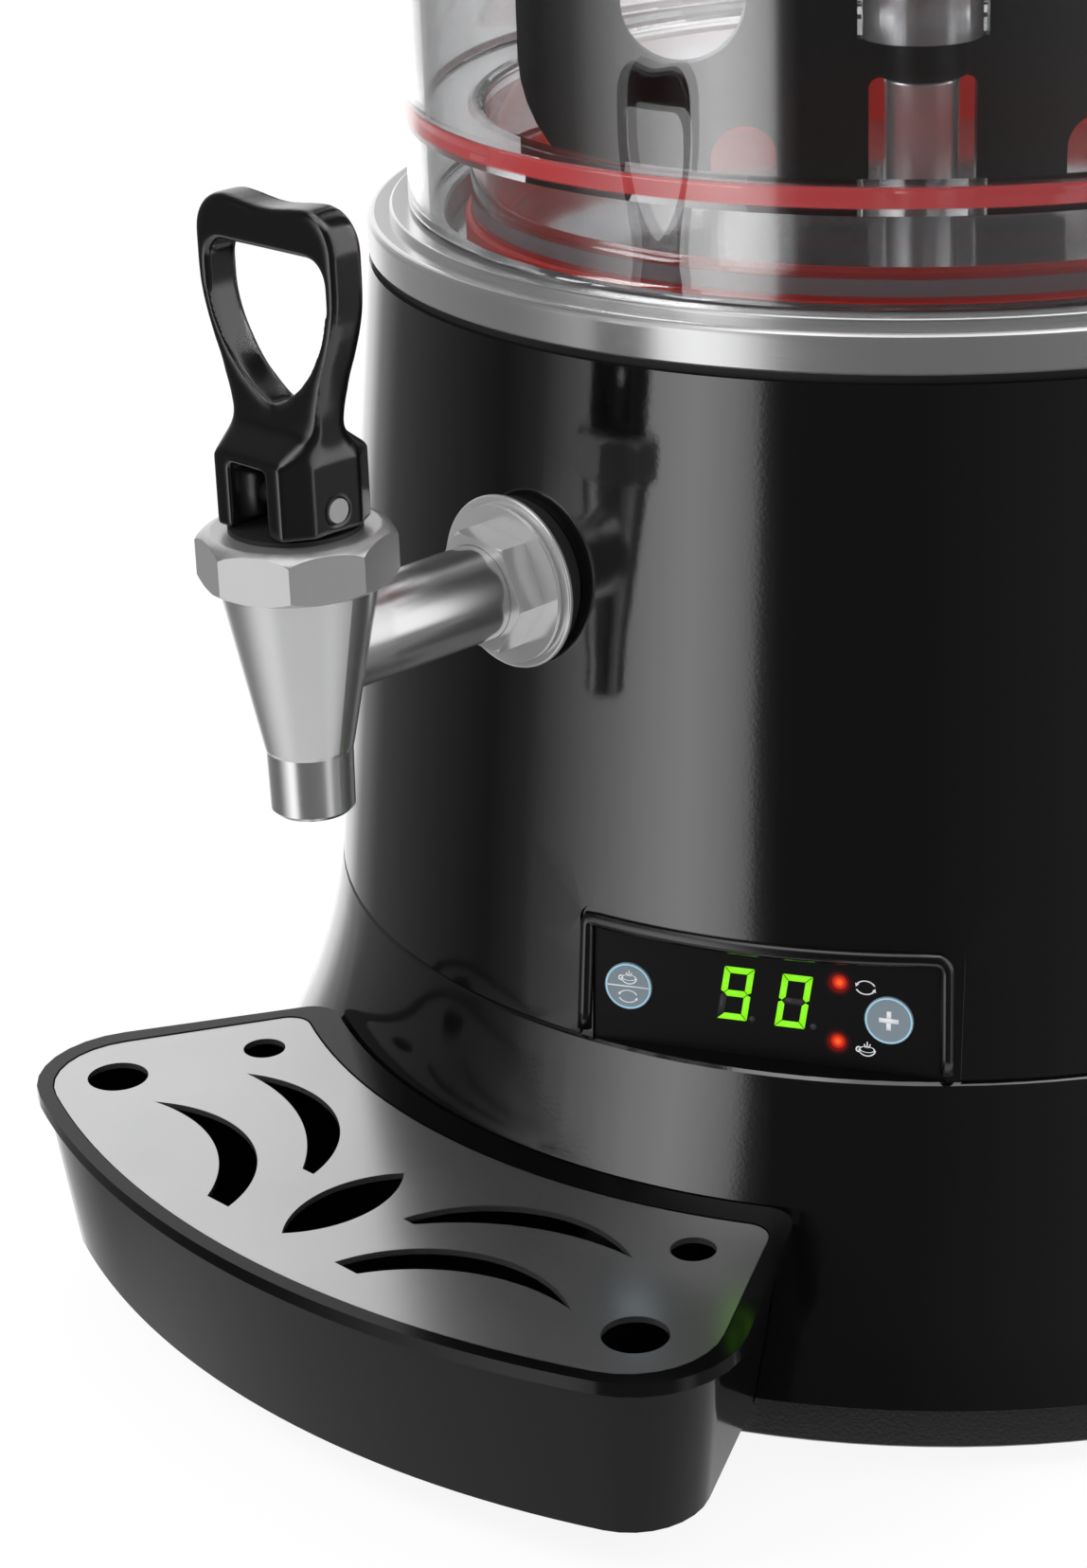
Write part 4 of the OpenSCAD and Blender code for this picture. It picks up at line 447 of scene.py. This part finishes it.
def show_through(material, mask, **constants):
    """Lets a second finish show where the mask is 1."""
    tree = Wire(material.node_tree)
    output = next(node for node in material.node_tree.nodes if node.type == "OUTPUT_MATERIAL")
    under = Wire(tree.tree, output.inputs["Surface"].links[0].from_socket)
    over = tree.add("ShaderNodeBsdfPrincipled", {}, constants)
    mixed = tree.add("ShaderNodeMixShader", {}, {0: mask, 1: under, 2: over})
    material.node_tree.links.new(mixed.socket, output.inputs["Surface"])


# Painted reflection: a red band on the glass where the floor meets the wall stands in for the gasket seen
# refracted through the floor's edge.
painted_gasket_band = bowl_z.between(FLOOR_FOOT, FLOOR_FOOT + 0.0005)
painted_gasket_band = painted_gasket_band * (1.0 - bowl_z.between(FLOOR_TOP - 0.0005, FLOOR_TOP))
painted_gasket_band = painted_gasket_band * bowl_reach.between(WALL_REACH, WALL_REACH + 0.0005)
show_through(clear, painted_gasket_band * (haze * 0.15 + 0.78), **{
    "Base Color": (0.5, 0.045, 0.05, 1), "Roughness": 0.25,
    "Coat Weight": 1.0, "Coat IOR": 2.2, "Coat Roughness": 0.02})
collar_edge = bowl_z.between(COLLAR_FOOT, COLLAR_FOOT + 0.0004)
collar_edge = collar_edge * (1.0 - bowl_z.between(COLLAR_WET - 0.0006, COLLAR_WET))
collar_edge = collar_edge * bowl_reach.between(COLLAR_REACH, COLLAR_REACH + 0.0002)
collar_edge = collar_edge * (1.0 - bowl_reach.between(COLLAR_END, COLLAR_END + 0.001))
show_through(clear, collar_edge * (haze * 0.2 + 0.8), **{
    "Base Color": (0.3, 0.28, 0.3, 1), "Roughness": 0.45})
dress(clear, "bowl")

# Stirrer: a black blade with arched notches on a hub that slides over the shaft.
# A chromed cap screws on top.
paddle_black = moulded("paddle_black", (0.005, 0.005, 0.0055), 0.25, 0.05, 1500.0)
dress(paddle_black, "paddle")

# Lid: a satin black moulding that drops over the bowl's rim.
# A knob is screwed on at its middle.
dress(satin_black, "lid", "lid_knob")

# Panel: a flat dark overlay in a thin rolled frame, let into the body's foot.
# Board, display and lamps sit behind it, and the lamps glow through it.
dress(black_gloss, "panel_bezel")
BEAD_LEFT, BEAD_RIGHT, BEAD_FOOT, BEAD_TOP, BEAD = 9.3, 42.5, 0.0696, 0.0912, 0.0014
BEAD_STEP, BEAD_SINK, CORNER_WIDE, CORNER_HIGH = 0.9, 0.35, 1.2, 0.0025
body_low, body_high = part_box("body_shell")
BODY_FOOT_R = (body_high[0] - body_low[0]) / 2
BODY_SLOPE = math.tan(math.radians(5.46))


def on_body(azimuth, z):
    """Point just under the body's surface, at an angle round its axis and a height."""
    reach = BODY_FOOT_R - (z - body_low[2]) * BODY_SLOPE - BEAD * BEAD_SINK
    turned = math.radians(azimuth)
    return (reach * math.sin(turned), AXIS[1] - reach * math.cos(turned), z)


bead_drop = BEAD_TOP - CORNER_HIGH - BEAD_FOOT
along_top = [BEAD_LEFT + 0.2 + BEAD_STEP * i for i in range(35)]
bead_path = [(BEAD_LEFT, BEAD_FOOT + (BEAD_TOP - BEAD_FOOT - 0.001) * i / 6) for i in range(7)]
bead_path += [(azimuth, BEAD_TOP) for azimuth in along_top if azimuth < BEAD_RIGHT - CORNER_WIDE]
bead_path += [(BEAD_RIGHT - CORNER_WIDE * (1 - math.sin(t)), BEAD_TOP - CORNER_HIGH * (1 - math.cos(t)))
              for t in (math.radians(18 * i) for i in range(1, 6))]
bead_path += [(BEAD_RIGHT, BEAD_FOOT + bead_drop * (1 - i / 6)) for i in range(1, 7)]
bead_curve = bpy.data.curves.new("panel_bead", "CURVE")
bead_curve.dimensions = "3D"
bead_curve.bevel_depth = BEAD
bead_curve.bevel_resolution = 5
bead_curve.use_fill_caps = True
bead_line = bead_curve.splines.new("POLY")
bead_line.points.add(len(bead_path) - 1)
for point, (azimuth, z) in zip(bead_line.points, bead_path):
    point.co = (*on_body(azimuth, z), 1.0)
bead_maker = bpy.data.objects.new("bead_maker", bead_curve)
bead_shape = bmesh.new()
bead_shape.from_mesh(bpy.data.meshes.new_from_object(bead_maker))
bpy.data.objects.remove(bead_maker)
bmesh.ops.remove_doubles(bead_shape, verts=bead_shape.verts, dist=1e-6)
bead_black = moulded("bead_black", (0.003, 0.003, 0.0033), 0.2, 0.03, 1400.0, 0.01, IOR=1.8)
add_piece("panel_bead", bead_shape, bead_black, "frame", "black_gloss")
PANEL_TURN, PANEL_REACH, PANEL_Z = math.radians(26.3), 0.11526, 0.068
PANEL_OUT = Vector((0.44106, -0.892418, 0.095163))
PANEL_RIGHT = Vector((math.cos(PANEL_TURN), math.sin(PANEL_TURN), 0.0))
PANEL_UP = PANEL_OUT.cross(PANEL_RIGHT)
PANEL_FOOT = Vector((PANEL_REACH * math.sin(PANEL_TURN),
                     AXIS[1] - PANEL_REACH * math.cos(PANEL_TURN), PANEL_Z))
MILLIMETRE = Matrix.Scale(0.001, 4)
INK = 0.03


def panel_frame(node):
    """Placing of a flat print: millimetres right and up on the outermost level of a panel node."""
    level = max(PANEL_OUT.dot(vertex.co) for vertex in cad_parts[node].data.vertices)
    corner = PANEL_FOOT + PANEL_OUT * (level - PANEL_OUT.dot(PANEL_FOOT))
    turned = Matrix((PANEL_RIGHT, PANEL_UP, PANEL_OUT)).transposed().to_4x4()
    return Matrix.Translation(corner) @ turned @ MILLIMETRE


def printed(name, shape, place, material, body, slot):
    """Lays a flat outline, drawn in millimetres, on a face as a film of ink."""
    bmesh.ops.recalc_face_normals(shape, faces=shape.faces)
    for face in shape.faces:
        if face.normal.z < 0:
            face.normal_flip()
    raised = bmesh.ops.extrude_face_region(shape, geom=list(shape.faces))
    top = [part for part in raised["geom"] if isinstance(part, bmesh.types.BMVert)]
    bmesh.ops.translate(shape, vec=(0.0, 0.0, INK), verts=top)
    bmesh.ops.recalc_face_normals(shape, faces=shape.faces)
    bmesh.ops.transform(shape, matrix=place, verts=shape.verts)
    return add_piece(name, shape, material, body, slot)


def ink_arc(shape, centre, radius, start, sweep, width, flat=1.0):
    """A stroke along part of a circle or flattened circle."""
    before = set(shape.verts)
    ends = [shape.verts.new((centre[0] + r * math.cos(start), centre[1] + r * math.sin(start), 0.0))
            for r in (radius - width / 2, radius + width / 2)]
    bmesh.ops.spin(shape, geom=[*ends, shape.edges.new(ends)], cent=(*centre, 0.0), axis=(0, 0, 1),
                   angle=sweep, steps=28, use_merge=abs(sweep) > 6.28)
    bmesh.ops.scale(shape, vec=(1.0, flat, 1.0), verts=[v for v in shape.verts if v not in before],
                    space=Matrix.Translation((-centre[0], -centre[1], 0.0)))


def ink_bar(shape, start, end, width):
    """A straight stroke."""
    along = Vector((end[0] - start[0], end[1] - start[1], 0.0))
    bar = bmesh.ops.create_grid(shape, x_segments=1, y_segments=1, size=0.5)["verts"]
    bmesh.ops.scale(shape, vec=(along.length, width, 1.0), verts=bar)
    bmesh.ops.rotate(shape, matrix=Matrix.Rotation(math.atan2(along.y, along.x), 3, "Z"), verts=bar)
    bmesh.ops.translate(shape, vec=((start[0] + end[0]) / 2, (start[1] + end[1]) / 2, 0.0), verts=bar)


def ink_tip(shape, place, size, heading):
    """An arrow head."""
    tip = bmesh.ops.create_circle(shape, cap_ends=True, segments=3, radius=size)["verts"]
    bmesh.ops.rotate(shape, matrix=Matrix.Rotation(heading - math.pi / 2, 3, "Z"), verts=tip)
    bmesh.ops.translate(shape, vec=(*place, 0.0), verts=tip)


def ink_turn(shape, centre, radius, width, flat):
    """Two arrows that chase each other round a flattened circle."""
    for start in (math.radians(20), math.radians(200)):
        ink_arc(shape, centre, radius, start, math.radians(132), width, flat)
        end = start + math.radians(140)
        ink_tip(shape, (centre[0] + radius * math.cos(end), centre[1] + radius * flat * math.sin(end)),
                width * 1.5, end + math.pi / 2)


def ink_cup(shape, centre, size, width):
    """A steaming cup: rim, bowl, ear and three wisps."""
    x, y = centre
    ink_arc(shape, (x, y), size, 0.0, 2 * math.pi, width, 0.42)
    ink_arc(shape, (x, y), size * 1.12, math.pi * 1.02, math.pi * 0.96, width, 0.82)
    ear = (x - size * 1.15, y - size * 0.08)
    ink_arc(shape, ear, size * 0.34, math.radians(60), math.radians(240), width)
    for lean, high in ((-0.3, 0.75), (0.0, 1.1), (0.3, 0.8)):
        wisp_foot = (x + lean * size * 0.7, y + size * 0.22)
        ink_bar(shape, wisp_foot, (x + lean * size * 1.4, y + size * high), width * 0.8)


LAMPS = ((13.0, 16.2), (13.0, 4.9))
LAMP_REACH = 0.0027
lamp_spots = [panel_frame("panel_face") @ Vector((x, y, 0.0)) for x, y in LAMPS]


def lamp_glow(place):
    """Light of the two lamps, fading outward through the dark overlay."""
    gaps = [place.add("ShaderNodeVectorMath", {"operation": "DISTANCE"}, {0: place, 1: tuple(spot)}, out=1)
            for spot in lamp_spots]
    near = place.math("MINIMUM", gaps[0], gaps[1]) / LAMP_REACH
    return near.add("ShaderNodeValToRGB", {"stops": [
        (0.0, (1.0, 0.30, 0.04)), (0.14, (1.0, 0.14, 0.015)), (0.32, (0.75, 0.02, 0.004)),
        (0.55, (0.16, 0.003, 0.001)), (0.78, (0.02, 0.0, 0.0)), (1.0, (0.0, 0.0, 0.0))]}, {"Fac": near})


panel_grey = moulded("panel_grey", (0.004, 0.004, 0.0044), 0.34, 0.04, 1500.0, **{
    "Emission Strength": 1.0, "Specular IOR Level": 0.2})
panel_shader = next(n for n in panel_grey.node_tree.nodes if n.type == "BSDF_PRINCIPLED")
panel_place = Wire(panel_grey.node_tree).add("ShaderNodeTexCoord", {}, {}, out=3)
# Painted glow: the dark overlay itself emits a red halo round the two lamps, fading outward.
feed(panel_shader, "Emission Color", lamp_glow(panel_place))
dress(panel_grey, "panel_face")
lamp_red, red_place, red_shader = new_finish("lamp_red", Roughness=0.2, **{"Emission Strength": 1.0})
core = red_place.add("ShaderNodeTexNoise", {}, {"Vector": red_place, "Scale": 400.0})
feed(red_shader, "Base Color", core.blend((0.05, 0.006, 0.004, 1), (0.08, 0.01, 0.006, 1)))
feed(red_shader, "Emission Color", lamp_glow(red_place))
dress(lamp_red, "indicator_lamps")

# Display: a two-digit block behind the overlay, with bars that light up green.
# It is soldered to the control board, and unlit bars show faintly grey.
digit_green, digit_place, digit_shader = new_finish("digit_green", Roughness=0.4, **{
    "Emission Strength": 1.0})
glim = digit_place.add("ShaderNodeTexNoise", {}, {"Vector": digit_place, "Scale": 900.0})
feed(digit_shader, "Base Color", glim.blend((0.05, 0.2, 0.01, 1), (0.08, 0.28, 0.01, 1)))
feed(digit_shader, "Emission Color", glim.blend((0.2, 0.78, 0.006, 1), (0.28, 0.86, 0.012, 1)))
digit_dark = moulded("digit_dark", (0.045, 0.045, 0.046), 0.35, 0.05, 1500.0)
lit_bars, dark_bars = bmesh.new(), bmesh.new()
HALF_W, HALF_H, BAR, GAP, SLANT = 2.82, 5.1, 1.2, 0.1, 0.14
DOT, DOT_Y = 0.62, 7.2
for digit_x, digit_y, dark in ((-6.2, 11.8, "e"), (4.68, 11.64, "g")):
    inner, tip = HALF_W - BAR - GAP, HALF_W - BAR / 2 - GAP
    across = [(-HALF_W + GAP, HALF_H), (HALF_W - GAP, HALF_H), (inner, HALF_H - BAR), (-inner, HALF_H - BAR)]
    upright = [(-HALF_W, HALF_H - GAP), (-HALF_W + BAR, HALF_H - BAR - GAP), (-HALF_W + BAR, BAR / 2 + GAP),
               (-HALF_W + BAR / 2, GAP), (-HALF_W, GAP + 0.3)]
    middle = [(-tip, 0.0), (-inner, BAR / 2), (inner, BAR / 2),
              (tip, 0.0), (inner, -BAR / 2), (-inner, -BAR / 2)]
    for bar_name, outline, flip_x, flip_y in (
            ("a", across, 1, 1), ("d", across, 1, -1), ("f", upright, 1, 1), ("e", upright, 1, -1),
            ("b", upright, -1, 1), ("c", upright, -1, -1), ("g", middle, 1, 1)):
        bars = dark_bars if bar_name == dark else lit_bars
        placed = [(digit_x + x * flip_x + SLANT * y * flip_y, digit_y + y * flip_y) for x, y in outline]
        bars.faces.new([bars.verts.new((x, y, 0.0)) for x, y in placed])
for dot_x in (-3.09, 8.4):
    dot = bmesh.ops.create_circle(dark_bars, cap_ends=True, segments=16, radius=DOT)["verts"]
    bmesh.ops.translate(dark_bars, vec=(dot_x, DOT_Y, 0.0), verts=dot)
printed("digits_lit", lit_bars, panel_frame("panel_face"), digit_green, "frame", "display")
printed("digits_unlit", dark_bars, panel_frame("panel_face"), digit_dark, "frame", "display")
dress(digit_dark, "display_module")
board_green = moulded("board_green", (0.05, 0.22, 0.1), 0.4, 0.08, 600.0)
dress(board_green, "control_board")

# Signs and buttons: white ink beside the lamps, and two moulded grey-blue keys.
# Each key carries a pale printed rim and a sign, and goes in with a finger's push.
# Painted glow: the white ink is given a faint emission, though it is only print.
ink_white = moulded("ink_white", (0.8, 0.82, 0.84), 0.5, 0.08, 2500.0, **{
    "Emission Color": (0.7, 0.75, 0.8, 1), "Emission Strength": 0.25})
lamp_signs = bmesh.new()
ink_turn(lamp_signs, (17.9, 15.9), 1.75, 0.3, 0.72)
ink_cup(lamp_signs, (18.5, 4.1), 1.35, 0.26)
printed("lamp_signs", lamp_signs, panel_frame("panel_face"), ink_white, "frame", "panel")
button_blue = moulded("button_blue", (0.25, 0.31, 0.36), 0.4, 0.06, 1500.0)
dress(button_blue, "stir_button", "temp_button")
# Painted glow: the pale blue key rims are given a faint emission, though they are only print.
rim_blue = moulded("rim_blue", (0.4, 0.7, 0.88), 0.4, 0.06, 2000.0, **{
    "Emission Color": (0.3, 0.6, 0.8, 1), "Emission Strength": 0.25})
KEY_RIM, KEY_LINE, PLUS, PLUS_ARM = 4.2, 0.24, 0.85, 1.8
for key_name, key_node, key_body, key_x, key_y in (
        ("stir", "stir_button", "stir_key", -26.6, 10.8), ("temp", "temp_button", "temp_key", 22.4, 10.2)):
    key_rim, key_sign = bmesh.new(), bmesh.new()
    ink_arc(key_rim, (key_x, key_y), KEY_RIM, 0.0, 2 * math.pi, 0.3)
    if key_name == "stir":
        ink_bar(key_sign, (key_x - 4.0, key_y), (key_x + 4.0, key_y), 0.22)
        ink_cup(key_sign, (key_x + 0.15, key_y + 1.7), 1.3, KEY_LINE)
        ink_turn(key_sign, (key_x, key_y - 1.95), 1.75, KEY_LINE, 0.66)
    else:
        ink_bar(key_sign, (key_x - PLUS_ARM, key_y), (key_x + PLUS_ARM, key_y), PLUS)
        ink_bar(key_sign, (key_x, key_y - PLUS_ARM), (key_x, key_y - PLUS / 2), PLUS)
        ink_bar(key_sign, (key_x, key_y + PLUS / 2), (key_x, key_y + PLUS_ARM), PLUS)
    printed(key_name + "_rim", key_rim, panel_frame(key_node), rim_blue, key_body, "button")
    printed(key_name + "_sign", key_sign, panel_frame(key_node), ink_white, key_body, "button")

# Drip tray: a deep black tray moulded with drafted walls and a rolled lip, hooked to the base.
# A loose stainless grid, pierced and polished to a satin sheen, lies in its rim.
tray_black = moulded("tray_black", (0.003, 0.003, 0.0033), 0.13, 0.02, 1400.0, 0.01, IOR=1.37)
TRAY_ROUND, TRAY_CREASE = 0.0011, 24.0
tray_shape = merged_copy("drip_tray")
round_edges(tray_shape, TRAY_ROUND, TRAY_CREASE)
tray_piece = add_piece("drip_pan", tray_shape, tray_black, "tray", "black_gloss", "drip_tray")
tray_piece.modifiers.new("even_shading", "WEIGHTED_NORMAL")
grid_steel, grid_place, grid_shader = new_finish("grid_steel", Metallic=0.94)
sheen = grid_place.add("ShaderNodeTexNoise", {}, {"Vector": grid_place, "Scale": 38.0, "Detail": 3.0})
grit = grid_place.add("ShaderNodeTexNoise", {}, {"Vector": grid_place, "Scale": 2600.0, "Detail": 2.0})
feed(grid_shader, "Base Color", sheen.blend((0.6, 0.6, 0.605, 1), (0.7, 0.7, 0.7, 1)))
feed(grid_shader, "Roughness", sheen * 0.04 + grit * 0.02 + 0.19)
grain = grit.add("ShaderNodeBump", {}, {"Strength": 0.004, "Distance": 0.0002, "Height": grit})
feed(grid_shader, "Normal", grain)
dress(grid_steel, "drip_grid")

# Rear switch and cord gland: satin black mouldings clipped into the recess.
# The rocker's two faces carry printed on and off marks.
dress(satin_black, "switch_body", "cord_gland")
dress(lever_black, "rocker")
rocker_low, rocker_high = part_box("rocker")
rocker_middle = (rocker_low[2] + rocker_high[2]) / 2
rocker_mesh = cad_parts["rocker"].data
for mark_name, mark_side in (("on_mark", 1.0), ("off_mark", -1.0)):
    facets = [face for face in rocker_mesh.polygons
              if face.normal.y > 0.8 and (face.center.z - rocker_middle) * mark_side > 0.001]
    area = sum(face.area for face in facets)
    mark_spot = sum((face.center * face.area for face in facets), Vector()) / area
    mark_out = sum((face.normal * face.area for face in facets), Vector()).normalized()
    mark_right = Vector((-1.0, 0.0, 0.0))
    mark_place = Matrix((mark_right, mark_out.cross(mark_right), mark_out)).transposed().to_4x4()
    mark_shape = bmesh.new()
    if mark_name == "on_mark":
        ink_bar(mark_shape, (0.0, -1.6), (0.0, 1.6), 0.6)
    else:
        ink_arc(mark_shape, (0.0, 0.0), 1.4, 0.0, 2 * math.pi, 0.5)
    mark_place = Matrix.Translation(mark_spot) @ mark_place @ MILLIMETRE
    printed(mark_name, mark_shape, mark_place, ink_white, "switch", "panel")
